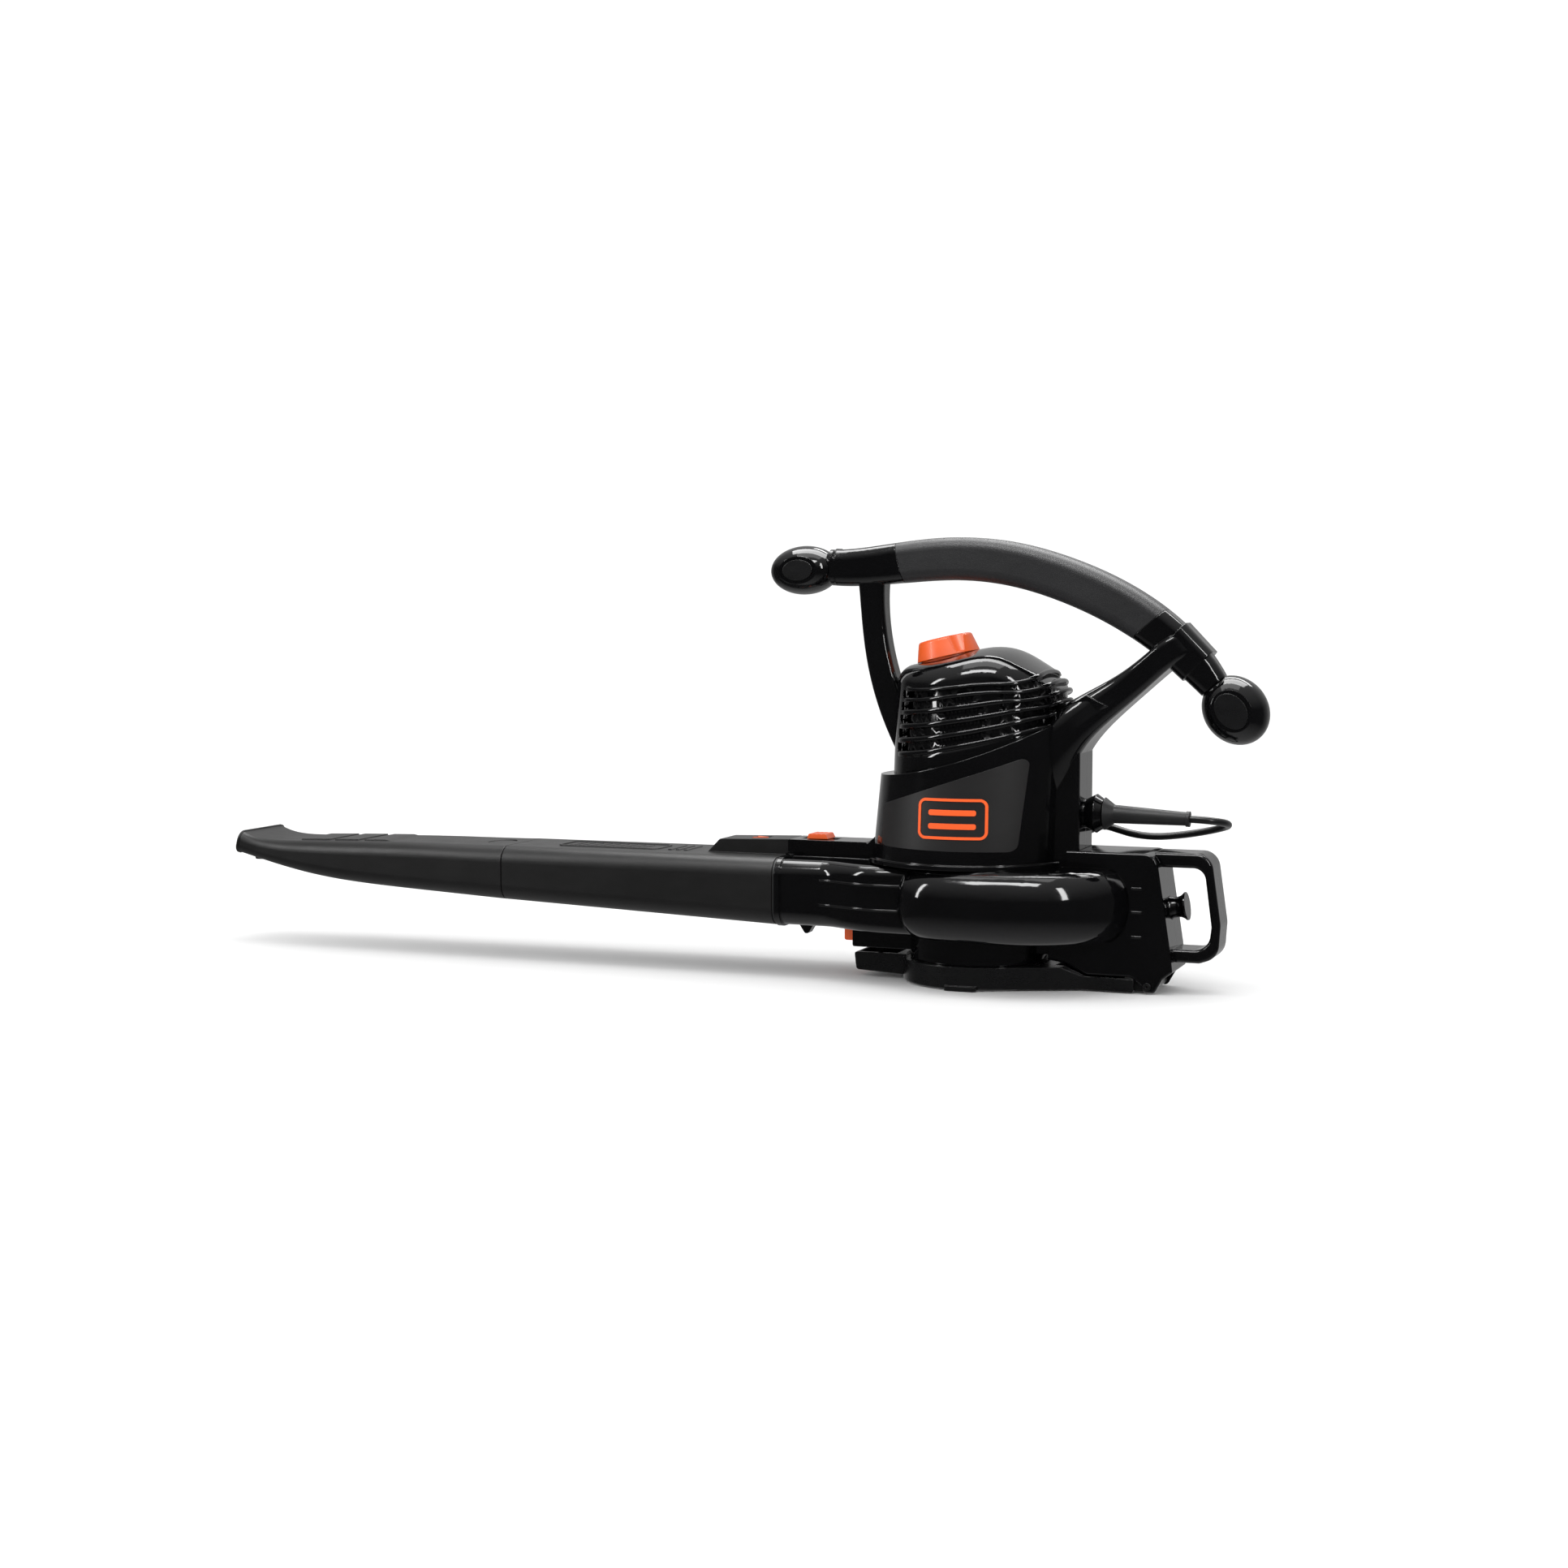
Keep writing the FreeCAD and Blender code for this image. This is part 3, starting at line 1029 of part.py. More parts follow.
def plug_frame(shape):
    """Place a shape built along +X at the end of the cord."""
    end = vec(*CORD_POINTS[-1])
    direction = (end - vec(*CORD_POINTS[-2])).normalize()
    turn = FreeCAD.Rotation(vec(1, 0, 0), direction)
    shape.Placement = FreeCAD.Placement(end, turn).multiply(shape.Placement)
    return shape


def plug_body():
    """Moulded two-blade plug."""
    sleeve = cone(5.0, 7.0, (0, 0, 0), (16, 0, 0))
    grip = loft([section(15, 0, 0, 7, 8, 3), section(24, 0, 0, 9, 12.5, 4), section(38, 0, 0, 8.5, 12, 4)])
    return plug_frame(sleeve.fuse(grip))


def plug_blades():
    blades = [box(38.02, 56, y - 0.75, y + 0.75, -3.1, 3.1) for y in (-6.35, 6.35)]
    return plug_frame(Part.makeCompound(blades))


# ---------------------------------------------------------------- trim and fasteners
def bulb_ovals(centre, angle, long_radius, high_radius):
    """Oval inlays on both flat sides of an end knob."""
    solids = []
    for side in (-1, 1):
        oval = Part.Face(Part.Wire([Part.Ellipse(vec(0, 0, 0), long_radius, high_radius).toShape()]))
        disc = oval.extrude(vec(0, 0, 1.6))
        disc.rotate(vec(0, 0, 0), vec(1, 0, 0), 90)
        disc.rotate(vec(0, 0, 0), vec(0, 1, 0), -angle)
        y = BULB_FLAT + 1.6 if side > 0 else -BULB_FLAT
        disc.translate(vec(centre[0], y, centre[1]))
        solids.append(disc)
    return Part.makeCompound(solids)


def handle_grip():
    """Soft sleeve over the arc of the handle."""
    return handle_bar(0).cut(handle_bar(3.0)).common(grip_zone(-0.4))


def side_screw(x, y, z):
    """Screw driven sideways from +Y; y is the underside of its head."""
    shank = rod(SCREW_RADIUS, (x, y - SCREW_LENGTH, z), (x, y, z))
    head = rod(SCREW_HEAD_RADIUS, (x, y, z), (x, y + 2.2, z))
    recess = rod(1.4, (x, y + 0.9, z), (x, y + 3, z))
    return shank.fuse(head).cut(recess)


def outlet_seal():
    """Flat rubber gasket between the tube and the rim of the housing."""
    outer = loft([duct_section(DUCT_FRONT_X - 2.3, 55.4, (47.2, 108.3), 15.5),
                  duct_section(DUCT_FRONT_X, 55.4, (47.2, 108.3), 15.5)], True)
    inner = loft([duct_section(DUCT_FRONT_X - 3, 53.3, (49.2, 106.3), 14),
                  duct_section(DUCT_FRONT_X + 1, 53.3, (49.2, 106.3), 14)], True)
    return outer.cut(inner)


def bracket_screws():
    """Four screws that hold the motor bracket down on the fan housing lid."""
    screws = []
    for angle in (0, 90, 180, 270):
        x = 52 * math.cos(math.radians(angle + 45))
        y = 52 * math.sin(math.radians(angle + 45))
        screws.append(rod(1.8, (x, y, 106.5), (x, y, 112.3)).fuse(rod(3.4, (x, y, 112.3), (x, y, 114.5))))
    return Part.makeCompound(screws)


def side_screws(places):
    return Part.makeCompound([side_screw(*place) for place in places])


def main():
    os.makedirs("parts", exist_ok=True)
    upper = upper_frame()
    save("upper_housing_left", largest(left_half(upper)))
    save("upper_housing_right", largest(right_half(upper)))
    save("motor_cap", motor_cap())
    save("handle_grip", handle_grip())
    save("front_bulb_ovals", bulb_ovals(FRONT_BULB, 3, 14.5, 9.5))
    save("rear_bulb_ovals", bulb_ovals(REAR_BULB, -50, 17, 13))
    save("label_panel_left", label_panel(1))
    save("label_panel_right", label_panel(-1))
    save("badge_left", badge(1))
    save("badge_right", badge(-1))
    save("housing_screws", side_screws(HOUSING_SCREWS))

    bracket_holes = bracket_screws()
    housing = fan_housing().cut(bracket_holes)
    save("fan_housing_upper", housing.common(lid_zone()))
    save("fan_housing_lower", housing.cut(lid_zone()))
    save("outlet_seal", outlet_seal())
    frame = rear_frame()
    save("rear_frame_left", left_half(frame))
    save("rear_frame_right", right_half(frame))
    save("frame_screws", side_screws(FRAME_SCREWS))
    save("cord_hook", cord_hook())

    save("inlet_cover", inlet_cover())
    save("inlet_grille", inlet_grille())
    save("hinge_pin", hinge_pin())
    save("cover_latch", cover_latch())
    save("latch_spring", latch_spring())
    save("interlock_plunger", interlock_plunger())
    save("interlock_switch", interlock_switch())
    save("plunger_spring", plunger_spring())

    save("blower_tube", blower_tube())
    save("tube_lock_mark", tube_lock_mark())
    save("tube_release_slider", tube_release_slider())
    save("release_spring", release_spring())
    save("concentrator_nozzle", concentrator_nozzle())

    save("impeller", impeller())
    save("impeller_washer", impeller_washer())
    save("impeller_nut", impeller_nut())
    save("motor_shaft", motor_shaft())
    save("armature_core", armature_core())
    save("armature_windings", armature_windings())
    save("commutator", commutator())
    save("cooling_fan", cooling_fan())
    save("lower_bearing", ball_bearing(BEARING_LOW_Z, 16.0, 9.0))
    save("upper_bearing", ball_bearing(BEARING_HIGH_Z, 11.0, 8.0))
    save("stator_core", stator_core())
    save("field_coils", field_coils())
    save("motor_bracket", motor_bracket().cut(bracket_holes))
    save("bracket_screws", bracket_holes)
    save("upper_bracket", upper_bracket())
    save("brush_holders", brush_holders())
    save("carbon_brushes", carbon_brushes())
    save("brush_springs", brush_springs())

    save("speed_knob", speed_knob())
    save("switch_spindle", switch_spindle())
    save("speed_switch", speed_switch())

    save("cord_gland", cord_gland())
    save("strain_relief", strain_relief())
    save("cord_clamp", cord_clamp())
    save("cord_clamp_screws", cord_clamp_screws())
    save("power_cord", power_cord())
    save("plug_body", plug_body())
    save("plug_blades", plug_blades())


main()
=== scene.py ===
"""Looks of the leaf blower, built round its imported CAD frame."""
import json
import math

import bmesh
import bpy
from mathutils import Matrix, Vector
from mathutils.bvhtree import BVHTree


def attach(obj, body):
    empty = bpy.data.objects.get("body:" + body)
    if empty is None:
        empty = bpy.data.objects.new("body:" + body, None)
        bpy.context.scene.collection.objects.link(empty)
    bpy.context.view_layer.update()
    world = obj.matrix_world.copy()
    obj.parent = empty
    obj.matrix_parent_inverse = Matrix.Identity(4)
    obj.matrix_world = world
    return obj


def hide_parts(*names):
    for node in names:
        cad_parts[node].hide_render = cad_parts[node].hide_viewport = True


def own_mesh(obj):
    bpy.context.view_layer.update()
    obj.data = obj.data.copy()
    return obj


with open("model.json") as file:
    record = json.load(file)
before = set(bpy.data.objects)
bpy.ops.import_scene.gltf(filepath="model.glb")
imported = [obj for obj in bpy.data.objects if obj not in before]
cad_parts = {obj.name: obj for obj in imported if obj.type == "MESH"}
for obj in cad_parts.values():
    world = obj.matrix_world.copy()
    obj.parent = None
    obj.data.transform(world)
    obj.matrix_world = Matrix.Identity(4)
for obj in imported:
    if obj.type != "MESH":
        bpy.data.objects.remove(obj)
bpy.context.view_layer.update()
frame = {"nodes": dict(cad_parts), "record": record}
nodes = frame["nodes"]


# ------------------------------------------------------------------ camera
CAMERA_PLACE = (0.63888, -2.16343, 0.35962)
CAMERA_AIM = (-0.19159, 0.0, 0.17317)
LENS_MM = 57.0
SENSOR_MM = 36.0


def facing(place, target):
    """Rotation that points an object's -Z axis from place to target."""
    return (Vector(target) - Vector(place)).to_track_quat("-Z", "Y").to_euler()


camera_data = bpy.data.cameras.new("camera")
camera_data.lens = LENS_MM
camera_data.sensor_width = SENSOR_MM
camera = bpy.data.objects.new("camera", camera_data)
bpy.context.scene.collection.objects.link(camera)
camera.location = CAMERA_PLACE
camera.rotation_euler = facing(CAMERA_PLACE, CAMERA_AIM)
bpy.context.scene.camera = camera


# ------------------------------------------------------------------ node helpers
BEVEL_SAMPLES = 6
SMUDGE_SCALE = 14.0              # drifts of colour to the metre
SMEAR_SCALE = SMUDGE_SCALE * 3.1
COAT_ROUGHNESS = 0.06
BAND_PITCH = 0.314               # distance between a wave texture's bands at a scale of 1


def new_material(name):
    """Empty node material: the material, its tree and its shader."""
    material = bpy.data.materials.new(name)
    material.use_nodes = True
    tree = material.node_tree
    shader = tree.nodes["Principled BSDF"]
    return material, tree, shader


def object_coords(tree, scale=(1.0, 1.0, 1.0)):
    """Object coordinates in metres, stretched by scale."""
    coords = tree.nodes.new("ShaderNodeTexCoord")
    mapping = tree.nodes.new("ShaderNodeMapping")
    mapping.inputs["Scale"].default_value = scale
    tree.links.new(coords.outputs["Object"], mapping.inputs["Vector"])
    return mapping.outputs["Vector"]


def noise(tree, vector, scale, detail=3.0, rough=0.55):
    """Noise with about scale blotches to the metre."""
    node = tree.nodes.new("ShaderNodeTexNoise")
    node.inputs["Scale"].default_value = scale
    node.inputs["Detail"].default_value = detail
    node.inputs["Roughness"].default_value = rough
    tree.links.new(vector, node.inputs["Vector"])
    return node.outputs["Fac"]


def spread(tree, value, low_in, high_in, low_out, high_out):
    """Value moved from the first range into the second, and held inside it."""
    node = tree.nodes.new("ShaderNodeMapRange")
    node.inputs["From Min"].default_value = low_in
    node.inputs["From Max"].default_value = high_in
    node.inputs["To Min"].default_value = low_out
    node.inputs["To Max"].default_value = high_out
    tree.links.new(value, node.inputs["Value"])
    return node.outputs["Result"]


def blend_colours(tree, value, first, second):
    """Colour that goes from first to second as value goes from 0 to 1."""
    node = tree.nodes.new("ShaderNodeMix")
    node.data_type = "RGBA"
    node.inputs["A"].default_value = (*first, 1.0)
    node.inputs["B"].default_value = (*second, 1.0)
    tree.links.new(value, node.inputs["Factor"])
    return node.outputs["Result"]


def added(tree, first, second):
    """Sum of two sockets."""
    node = tree.nodes.new("ShaderNodeMath")
    node.operation = "ADD"
    tree.links.new(first, node.inputs[0])
    tree.links.new(second, node.inputs[1])
    return node.outputs[0]


def surface(tree, shader, height, distance, strength, edge):
    """Bump of the given height over edges that look rounded by the radius edge; both in metres."""
    bump = tree.nodes.new("ShaderNodeBump")
    bump.inputs["Distance"].default_value = distance
    bump.inputs["Strength"].default_value = strength
    tree.links.new(height, bump.inputs["Height"])
    if edge > 0:
        bevel = tree.nodes.new("ShaderNodeBevel")
        bevel.samples = BEVEL_SAMPLES
        bevel.inputs["Radius"].default_value = edge
        tree.links.new(bevel.outputs["Normal"], bump.inputs["Normal"])
    tree.links.new(bump.outputs["Normal"], shader.inputs["Normal"])


def plastic(name, colour, tint, rough, rough_spread, grain_scale, grain_depth, edge=0.0008,
            coat=0.0, specular=0.5):
    """Moulded plastic: base colour that drifts to tint, uneven gloss, moulded surface grain."""
    material, tree, shader = new_material(name)
    place = object_coords(tree)
    drift = spread(tree, noise(tree, place, SMUDGE_SCALE, 4.0), 0.35, 0.7, 0.0, 1.0)
    tree.links.new(blend_colours(tree, drift, colour, tint), shader.inputs["Base Color"])
    smears = noise(tree, object_coords(tree, (1.0, 1.0, 3.0)), SMEAR_SCALE, 5.0, 0.65)
    gloss = spread(tree, smears, 0.3, 0.75, rough, rough + rough_spread)
    tree.links.new(gloss, shader.inputs["Roughness"])
    grain = noise(tree, place, grain_scale, 2.0)
    surface(tree, shader, grain, grain_depth, 1.0, edge)
    shader.inputs["Coat Weight"].default_value = coat
    shader.inputs["Coat Roughness"].default_value = COAT_ROUGHNESS
    shader.inputs["Specular IOR Level"].default_value = specular
    return material


def metal(name, colour, tint, rough, stretch, scale, edge=0.0003):
    """Metal with fine marks drawn out along one direction."""
    material, tree, shader = new_material(name)
    lines = noise(tree, object_coords(tree, stretch), scale, 3.0)
    tree.links.new(blend_colours(tree, lines, colour, tint), shader.inputs["Base Color"])
    gloss = spread(tree, lines, 0.3, 0.7, rough, rough + 0.15)
    tree.links.new(gloss, shader.inputs["Roughness"])
    shader.inputs["Metallic"].default_value = 1.0
    surface(tree, shader, lines, 0.00005, 0.6, edge)
    return material


def layered(name, colour, tint, pitch):
    """Stacked steel sheets: fine dark lines square to the stack."""
    material, tree, shader = new_material(name)
    wave = tree.nodes.new("ShaderNodeTexWave")
    wave.bands_direction = "Z"
    wave.inputs["Scale"].default_value = BAND_PITCH / pitch
    wave.inputs["Distortion"].default_value = 0.4
    tree.links.new(object_coords(tree), wave.inputs["Vector"])
    tree.links.new(blend_colours(tree, wave.outputs["Fac"], colour, tint), shader.inputs["Base Color"])
    shader.inputs["Metallic"].default_value = 0.85
    shader.inputs["Roughness"].default_value = 0.45
    surface(tree, shader, wave.outputs["Fac"], 0.00008, 1.0, 0.0)
    return material


def windings(name, colour, tint, pitch):
    """Enamelled wire laid side by side."""
    material, tree, shader = new_material(name)
    wave = tree.nodes.new("ShaderNodeTexWave")
    wave.wave_type = "RINGS"
    wave.rings_direction = "Z"
    wave.inputs["Scale"].default_value = BAND_PITCH / pitch
    wave.inputs["Distortion"].default_value = 1.2
    wave.inputs["Detail"].default_value = 1.0
    tree.links.new(object_coords(tree), wave.inputs["Vector"])
    tree.links.new(blend_colours(tree, wave.outputs["Fac"], tint, colour), shader.inputs["Base Color"])
    shader.inputs["Metallic"].default_value = 0.7
    shader.inputs["Roughness"].default_value = 0.32
    surface(tree, shader, wave.outputs["Fac"], 0.0003, 1.0, 0.0)
    return material


# ------------------------------------------------------------------ materials, one per slot
PLASTICS = {
    "gloss_black": ((0.0016, 0.0016, 0.0019), (0.0026, 0.0026, 0.003), 0.05, 0.05, 260, 0.000006,
                    dict(edge=0.0011)),
    "satin_black": ((0.0062, 0.0060, 0.0061), (0.0085, 0.0083, 0.0084), 0.36, 0.08, 2600, 0.00006,
                    dict(edge=0.0012, specular=0.42)),
    "soft_grip": ((0.012, 0.012, 0.0135), (0.017, 0.017, 0.019), 0.40, 0.08, 1500, 0.00016,
                  dict(edge=0.0010)),
    "label_grey": ((0.013, 0.0122, 0.0125), (0.016, 0.0152, 0.0155), 0.40, 0.05, 3500, 0.00002,
                   dict(edge=0.0004, specular=0.4)),
    "orange": ((0.99, 0.128, 0.010), (0.94, 0.112, 0.008), 0.32, 0.12, 900, 0.00004,
               dict(edge=0.0010, coat=0.1)),
    "orange_print": ((0.96, 0.118, 0.012), (0.92, 0.108, 0.01), 0.42, 0.1, 1500, 0.00002,
                     dict(edge=0.0002, specular=0.3)),
    "cover_black": ((0.0045, 0.0045, 0.005), (0.007, 0.007, 0.0075), 0.24, 0.1, 1800, 0.00005,
                    dict(edge=0.0010, specular=0.45)),
    "rubber_black": ((0.011, 0.011, 0.012), (0.016, 0.016, 0.017), 0.42, 0.12, 1400, 0.00008,
                     dict(edge=0.0006, specular=0.42)),
    "cord_black": ((0.006, 0.006, 0.0065), (0.01, 0.01, 0.0105), 0.25, 0.12, 900, 0.00006,
                   dict(edge=0.0, specular=0.45)),
    "fan_grey": ((0.05, 0.05, 0.053), (0.075, 0.075, 0.078), 0.4, 0.2, 800, 0.00008,
                 dict(edge=0.0005)),
    "switch_plastic": ((0.03, 0.03, 0.034), (0.045, 0.045, 0.05), 0.4, 0.1, 1200, 0.00004,
                       dict(edge=0.0004)),
    "bracket_plastic": ((0.02, 0.02, 0.021), (0.03, 0.03, 0.031), 0.5, 0.15, 900, 0.0001,
                        dict(edge=0.0006)),
    "carbon": ((0.03, 0.03, 0.031), (0.05, 0.05, 0.052), 0.55, 0.2, 2000, 0.00008,
               dict(edge=0.0003)),
}
METALS = {
    "steel": ((0.52, 0.52, 0.54), (0.66, 0.66, 0.67), 0.2, (1.0, 1.0, 0.06), 1500),
    "dark_screw": ((0.05, 0.05, 0.052), (0.1, 0.1, 0.1), 0.3, (1.0, 1.0, 1.0), 900),
    "spring_steel": ((0.42, 0.42, 0.45), (0.6, 0.6, 0.62), 0.22, (1.0, 1.0, 1.0), 1200, 0.0),
    "brass": ((0.62, 0.42, 0.14), (0.75, 0.55, 0.22), 0.25, (0.1, 1.0, 1.0), 1400),
    "commutator_copper": ((0.6, 0.26, 0.12), (0.75, 0.38, 0.2), 0.25, (1.0, 1.0, 8.0), 500),
    "nickel": ((0.62, 0.6, 0.56), (0.75, 0.73, 0.7), 0.16, (1.0, 0.1, 1.0), 1500),
}
SHEET_PITCH = 0.001
WIRE_PITCH = 0.0009
materials = {}
for name, (*settings, options) in PLASTICS.items():
    materials[name] = plastic(name, *settings, **options)
for name, settings in METALS.items():
    materials[name] = metal(name, *settings)
materials["lamination"] = layered("lamination", (0.14, 0.14, 0.15), (0.34, 0.34, 0.35), SHEET_PITCH)
materials["copper"] = windings("copper", (0.66, 0.26, 0.09), (0.28, 0.09, 0.03), WIRE_PITCH)

slot_of = {entry["node"]: entry["material_slot"] for entry in frame["record"]["subparts"]}
for name, node in nodes.items():
    node.data.materials.clear()
    node.data.materials.append(materials[slot_of[name]])
# these three look darker than their slots' own finish
nodes["hinge_pin"].data.materials[0] = materials["dark_screw"]
for name in ("front_bulb_ovals", "rear_bulb_ovals"):
    nodes[name].data.materials[0] = materials["cover_black"]


# ------------------------------------------------------------------ pieces
def add_piece(name, data, body="housing", stands_for=None):
    """Object made of the given mesh or curve, riding on a body; the CAD part it stands for is hidden."""
    piece = bpy.data.objects.new(name, data)
    bpy.context.scene.collection.objects.link(piece)
    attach(piece, body)
    if stands_for:
        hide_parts(stands_for)
    return piece


def shade_smooth(mesh):
    """Smooth shading on every face."""
    mesh.polygons.foreach_set("use_smooth", [True] * len(mesh.polygons))


# ------------------------------------------------------------------ cord
CORD_RADIUS = 0.0033
CORD_POINTS = [
    (0.192, 0.0, 0.153), (0.201, 0.0002, 0.1528), (0.214, 0.0048, 0.1514), (0.222, 0.0178, 0.1486),
    (0.220, 0.0333, 0.145), (0.2087, 0.044, 0.141), (0.192, 0.0475, 0.137), (0.173, 0.049, 0.1336),
    (0.152, 0.048, 0.1314), (0.131, 0.048, 0.1328), (0.113, 0.054, 0.1368), (0.099, 0.0675, 0.1382),
    (0.0865, 0.083, 0.1342), (0.071, 0.096, 0.127), (0.051, 0.105, 0.1226), (0.030, 0.109, 0.1216),
]
cord_curve = bpy.data.curves.new("mains_lead", "CURVE")
cord_curve.dimensions = "3D"
spline = cord_curve.splines.new("NURBS")
spline.points.add(len(CORD_POINTS) - 1)
for point, place in zip(spline.points, CORD_POINTS):
    point.co = (*place, 1.0)
spline.order_u = 3
spline.use_endpoint_u = True
cord_curve.resolution_u = 12
cord_curve.bevel_depth = CORD_RADIUS
cord_curve.bevel_resolution = 6
cord_curve.use_fill_caps = True
cord_curve.materials.append(materials["cord_black"])
lead = add_piece("mains_lead", cord_curve, stands_for="power_cord")


# ------------------------------------------------------------------ rounded fins between the cap's vents
# vents from top to bottom: x of the front end, height of the top edge at the front and at the rear
VENTS = [(-0.0600, 0.2680, 0.2880), (-0.0615, 0.2554, 0.2795), (-0.0630, 0.2428, 0.2710),
         (-0.0645, 0.2302, 0.2625), (-0.0660, 0.2176, 0.2540)]
VENT_MIDDLE_X = 0.012
VENT_REAR_X = 0.110
VENT_MIDDLE_RISE = 0.30
VENT_HEIGHTS = (0.0086, 0.0053)
CAP_CENTRE = Vector((0.0015, 0.0, 0.0))
CAP_RADII = (0.0795, 0.0725)
FIN_WIDTHS = (0.0026, 0.0020)
FIN_RISE = 0.0016
FIN_STEPS = 72
FIN_CLEAR_OF_VENT = FIN_WIDTHS[0] * 0.8    # from the outermost vents' edges to the first and last fin
FIN_AIM_PASSES = 4               # a fin's height depends on x, which the ray's hit refines
FIN_CORNERS = 10                 # points round a fin's section, the last one inside the cap
FIN_SINK = 0.0003
FIN_ROOT = 0.001
END_HEIGHT = 0.25                # share of the rise at a fin's very end
END_GAIN = 0.375                 # share gained at each step from there


def vent_top(vent, x):
    """Height of a vent's top edge at x: the curve through its front, middle and rear."""
    front_x, front_z, rear_z = vent
    middle_z = front_z + (rear_z - front_z) * VENT_MIDDLE_RISE
    places = ((front_x, front_z), (VENT_MIDDLE_X, middle_z), (VENT_REAR_X, rear_z))
    height = 0.0
    for own_x, own_z in places:
        share = own_z
        for other_x, _ in places:
            if other_x != own_x:
                share *= (x - other_x) / (own_x - other_x)
        height += share
    return height


def along(vent, x, pair):
    """Value that changes evenly from the vent's front to its rear."""
    share = min(max((x - vent[0]) / (VENT_REAR_X - vent[0]), 0.0), 1.0)
    return pair[0] + (pair[1] - pair[0]) * share


def fin_height(index, x):
    """Middle height of fin number index; fin 0 is above the top vent."""
    if index == 0:
        return vent_top(VENTS[0], x) + FIN_CLEAR_OF_VENT
    above = VENTS[index - 1]
    low = vent_top(above, x) - along(above, x, VENT_HEIGHTS)
    if index == len(VENTS):
        return low - FIN_CLEAR_OF_VENT
    return (low + vent_top(VENTS[index], x)) / 2


def averaged(values, reach):
    """Running mean of a list of vectors."""
    result = []
    for index in range(len(values)):
        part = values[max(index - reach, 0):index + reach + 1]
        result.append(sum(part, Vector()) / len(part))
    return result


def fin_path(cap_surface, index):
    """Points round the cap on the outer face of a fin, and the outward direction at each."""
    vent = VENTS[min(index, len(VENTS) - 1)]
    sweep = math.acos((vent[0] - CAP_CENTRE.x) / CAP_RADII[0])
    places = []
    outwards = []
    for step in range(FIN_STEPS + 1):
        angle = sweep * (2.0 * step / FIN_STEPS - 1.0)
        ray = Vector((math.cos(angle) * CAP_RADII[0], math.sin(angle) * CAP_RADII[1], 0.0))
        x = CAP_CENTRE.x + ray.x
        hit = None
        for _ in range(FIN_AIM_PASSES):
            start = CAP_CENTRE + ray * 2.0 + Vector((0.0, 0.0, fin_height(index, x)))
            hit, normal, _, _ = cap_surface.ray_cast(start, -ray)
            if hit is None:
                break
            x = hit.x
        if hit is not None:
            places.append(hit)
            outwards.append(normal)
    return averaged(places, 1), [v.normalized() for v in averaged(outwards, 3)]


def bead(points, outwards, widths, rise):
    """Vertices and faces of a rounded ridge along the points, tapering off at both ends."""
    ring = FIN_CORNERS
    vertices = []
    faces = []
    last = len(points) - 1
    for index, (point, outward) in enumerate(zip(points, outwards)):
        forward = (points[min(index + 1, last)] - points[max(index - 1, 0)]).normalized()
        across = forward.cross(outward).normalized()
        share = 1.0 - abs(2.0 * index / last - 1.0)
        width = widths[0] + (widths[1] - widths[0]) * share
        height = rise * min(1.0, END_HEIGHT + END_GAIN * min(index, last - index))
        for corner in range(ring):
            turn = math.pi * corner / (ring - 2)
            if corner < ring - 1:
                lift = height * math.sin(turn) - FIN_SINK
                place = point + across * (width * math.cos(turn)) + outward * lift
            else:
                place = point - outward * FIN_ROOT
            vertices.append(place)
    for index in range(last):
        for corner in range(ring):
            following = (corner + 1) % ring
            base = index * ring
            faces.append((base + corner, base + following, base + ring + following, base + ring + corner))
    faces.append(tuple(range(ring))[::-1])
    faces.append(tuple(last * ring + corner for corner in range(ring)))
    return vertices, faces


# ------------------------------------------------------------------ crowned cap
# crest line of the CAD cap from front to rear: x, z
CROWN = [(-0.110, 0.276), (-0.070, 0.2852), (-0.030, 0.2944), (-0.005, 0.3002), (0.012, 0.3032),
         (0.030, 0.3015), (0.050, 0.2915), (0.068, 0.2795), (0.084, 0.264), (0.103, 0.238)]
DOME_DEPTH = 0.045               # how far below the crest the doming dies out
DOME_CURVE = 2.6                 # drop in metres per square metre of distance from the middle
CUT_SPACING = 0.006
CUTS_EACH_WAY = 11
MERGE_DISTANCE = 0.00001
CUT_TOLERANCE = 0.000001
SHARP_EDGE = math.radians(32.0)


def crest(x):
    """Height of the cap's crest line at x."""
    for (x0, z0), (x1, z1) in zip(CROWN, CROWN[1:]):
        if x <= x1:
            break
    share = min(max((x - x0) / (x1 - x0), 0.0), 1.0)
    return z0 + (z1 - z0) * share


def domed(place):
    """Where a point of the cap goes when its crest is crowned from side to side."""
    share = min(max(1.0 - (crest(place.x) - place.z) / DOME_DEPTH, 0.0), 1.0)
    ease = share * share * (3.0 - 2.0 * share)
    return Vector((place.x, place.y, place.z - DOME_CURVE * place.y ** 2 * ease))


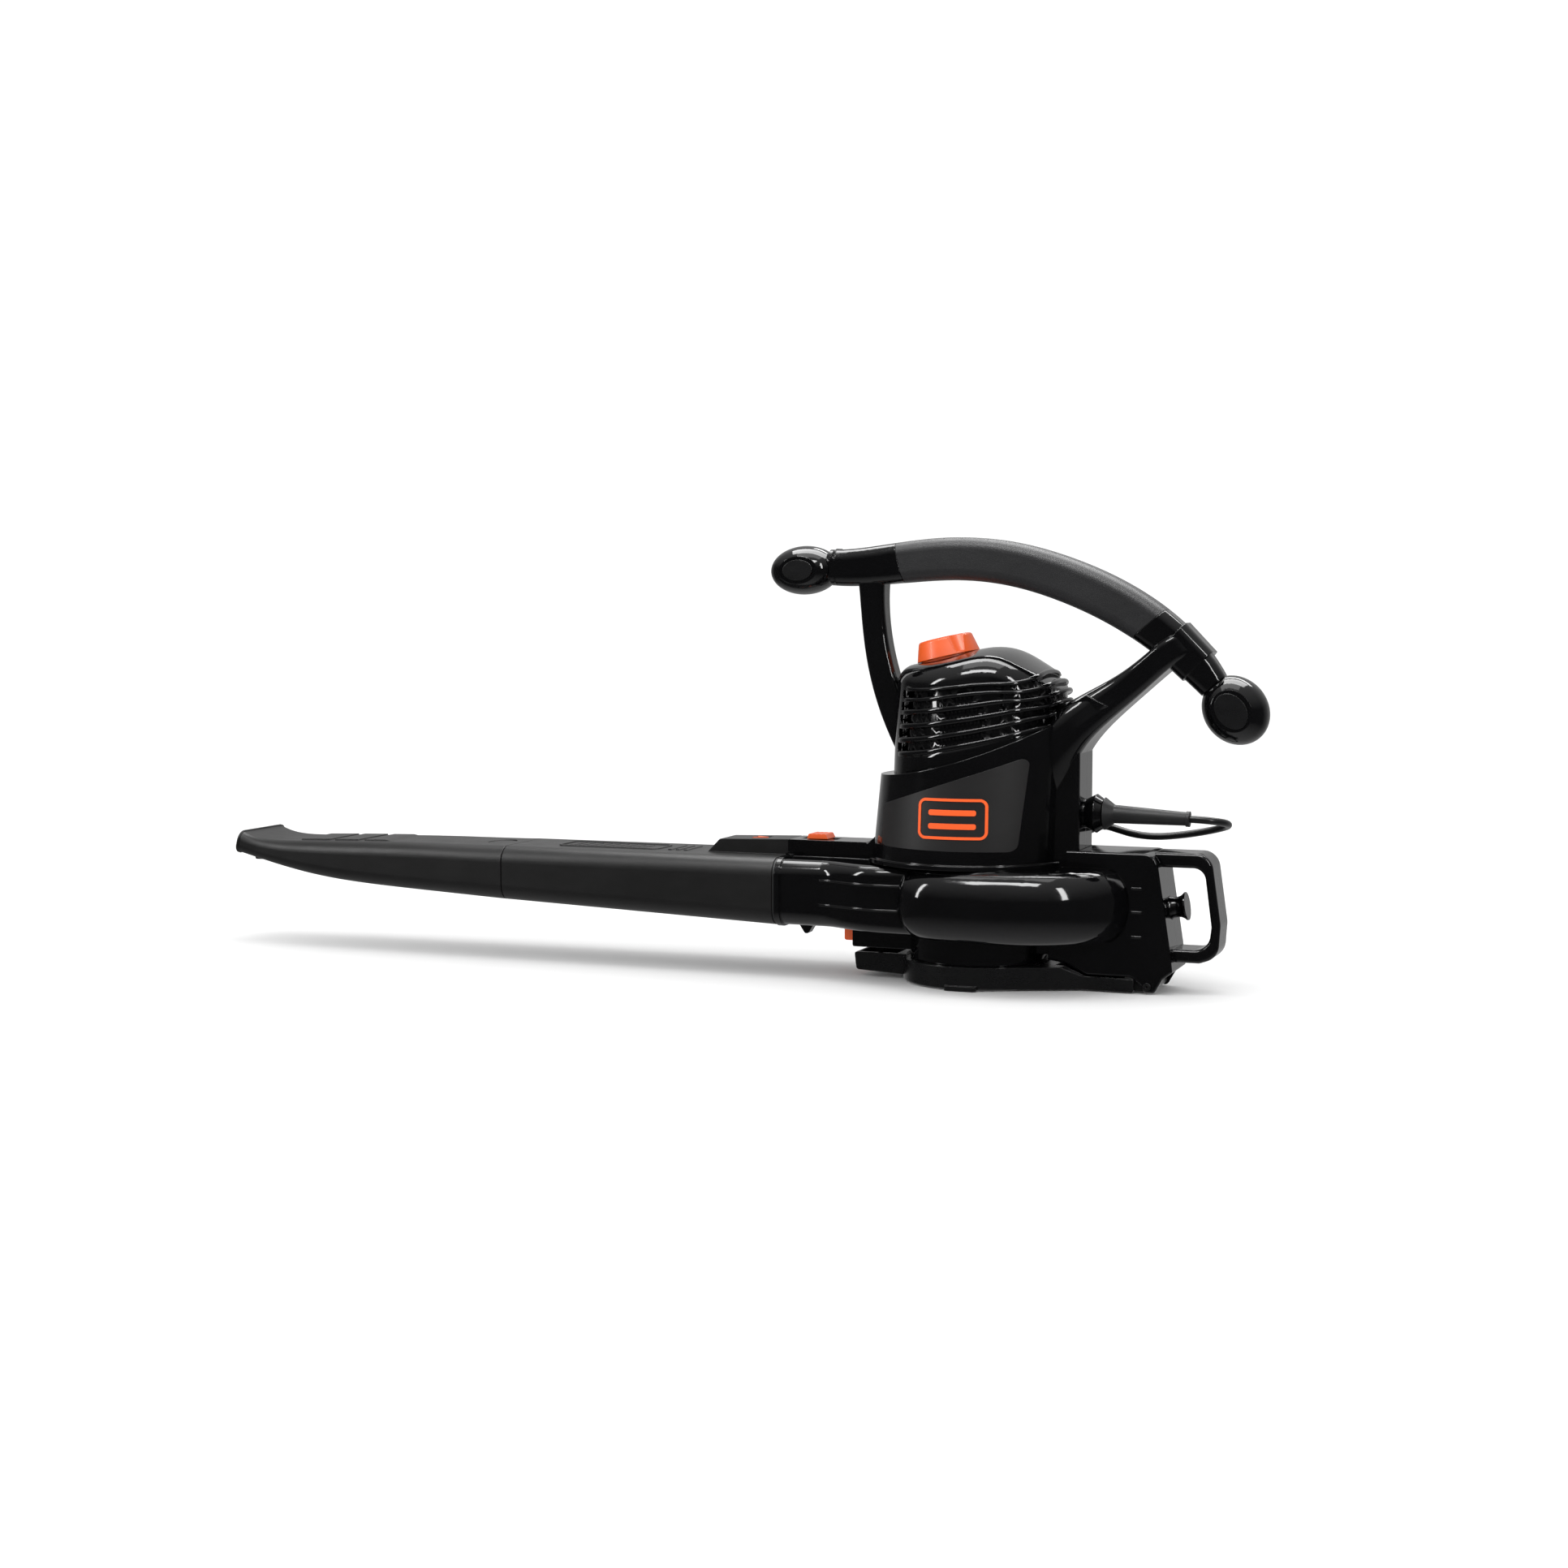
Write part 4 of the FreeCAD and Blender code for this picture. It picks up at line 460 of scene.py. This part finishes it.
def domed_cap(node):
    """Copy of the cap, cut into strips so that it takes the doming, then domed."""
    shell = bmesh.new()
    shell.from_mesh(node.data)
    bmesh.ops.remove_doubles(shell, verts=shell.verts, dist=MERGE_DISTANCE)
    for step in range(-CUTS_EACH_WAY, CUTS_EACH_WAY + 1):
        everything = shell.verts[:] + shell.edges[:] + shell.faces[:]
        bmesh.ops.bisect_plane(shell, geom=everything, dist=CUT_TOLERANCE,
                               plane_co=(0.0, step * CUT_SPACING, 0.0), plane_no=(0.0, 1.0, 0.0))
    for vertex in shell.verts:
        vertex.co = domed(vertex.co)
    bmesh.ops.triangulate(shell, faces=shell.faces[:])
    mesh = bpy.data.meshes.new("cap_shell")
    shell.to_mesh(mesh)
    shell.free()
    shade_smooth(mesh)
    mesh.set_sharp_from_angle(angle=SHARP_EDGE)
    mesh.materials.append(materials["gloss_black"])
    return mesh


def fin_mesh(name, cap_surface, index):
    """One rounded fin that follows the domed cap."""
    ridge, away = fin_path(cap_surface, index)
    points, faces = bead(ridge, away, FIN_WIDTHS, FIN_RISE)
    mesh = bpy.data.meshes.new(name)
    mesh.from_pydata([tuple(domed(point)) for point in points], [], faces)
    mesh.validate()
    shade_smooth(mesh)
    mesh.materials.append(materials["gloss_black"])
    return mesh


cap = nodes["motor_cap"]
cap_tree = BVHTree.FromPolygons([v.co.copy() for v in cap.data.vertices],
                                [tuple(p.vertices) for p in cap.data.polygons])
for number in range(len(VENTS) + 1):
    name = f"cap_fin_{number + 1}"
    add_piece(name, fin_mesh(name, cap_tree, number))
add_piece("cap_shell", domed_cap(cap), stands_for="motor_cap")


# ------------------------------------------------------------------ button springs
# CAD node, the joint of its button, the button's travel, x of the spring's fixed end.
BUTTON_SPRINGS = [
    ("release_spring", "tube_release_slide", 0.007, -0.1362),
    ("latch_spring", "cover_latch_slide", 0.005, -0.0842),
]
for name, joint, travel, fixed_end in BUTTON_SPRINGS:
    coil = add_piece(name + "_coil", nodes[name].data.copy(), stands_for=name)
    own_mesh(coil)


# ------------------------------------------------------------------ studio
FLOOR_SIZE = 24.0
FLOOR_GAP = 0.0006               # keeps the floor just under the lowest face
FLOOR_COLOUR = (0.985, 0.985, 0.985, 1.0)

bpy.ops.mesh.primitive_plane_add(size=FLOOR_SIZE, location=(0.0, 0.0, -FLOOR_GAP))
floor = bpy.context.object
floor.name = "studio_floor"
floor_material, _, floor_shader = new_material("studio_floor")
floor_shader.inputs["Base Color"].default_value = FLOOR_COLOUR
floor_shader.inputs["Roughness"].default_value = 0.8
floor_shader.inputs["Specular IOR Level"].default_value = 0.0
floor.data.materials.append(floor_material)
floor.visible_glossy = False


def softbox(name, location, target, width, height, radiance, lights_surfaces=False):
    """Area light of the given radiance; unless it lights surfaces, it shows in reflections only."""
    data = bpy.data.lights.new(name, "AREA")
    data.shape = "RECTANGLE"
    data.size = width
    data.size_y = height
    data.energy = radiance * math.pi * width * height
    light = bpy.data.objects.new(name, data)
    bpy.context.scene.collection.objects.link(light)
    light.location = location
    light.rotation_euler = facing(location, target)
    light.visible_diffuse = lights_surfaces


softbox("top_softbox", (-0.1, -0.1, 2.1), (-0.1, 0.0, 0.15), 1.7, 0.9, 2.0, True)
softbox("top_card", (-0.1, 0.5, 1.8), (-0.1, 0.0, 0.25), 2.0, 0.8, 8.0)
softbox("front_strip", (-0.1, -1.0, 1.7), (-0.1, 0.0, 0.15), 1.5, 0.34, 16.0)
softbox("left_strip", (-1.7, -1.2, 1.0), (0.0, 0.0, 0.2), 0.22, 1.2, 17.0)
softbox("right_strip", (1.6, -1.3, 1.2), (0.05, 0.0, 0.2), 0.22, 1.2, 17.0)
softbox("rear_strip", (0.3, 1.5, 1.9), (0.0, 0.0, 0.2), 1.8, 0.3, 9.0)

DIFFUSE_SKY = 1.1
world = bpy.data.worlds.new("studio")
bpy.context.scene.world = world
world.use_nodes = True
tree = world.node_tree
# mirrored rays see a dim room with a soft glow behind, overhead and below; other rays see an even sky
background = tree.nodes["Background"]
background.inputs["Color"].default_value = (1.0, 1.0, 1.0, 1.0)
direction = tree.nodes.new("ShaderNodeSeparateXYZ")
tree.links.new(tree.nodes.new("ShaderNodeTexCoord").outputs["Generated"], direction.inputs["Vector"])
behind = spread(tree, direction.outputs["Y"], 0.3, 0.95, 0.05, 0.5)
overhead = spread(tree, direction.outputs["Z"], 0.2, 0.9, 0.0, 0.6)
below = spread(tree, direction.outputs["Z"], -0.4, -1.0, 0.0, 0.5)
mirrored = added(tree, behind, added(tree, overhead, below))
path = tree.nodes.new("ShaderNodeLightPath")
strength = tree.nodes.new("ShaderNodeMix")
strength.inputs["A"].default_value = DIFFUSE_SKY
tree.links.new(path.outputs["Is Glossy Ray"], strength.inputs["Factor"])
tree.links.new(mirrored, strength.inputs["B"])
tree.links.new(strength.outputs["Result"], background.inputs["Strength"])
bpy.context.scene.view_settings.view_transform = "Standard"
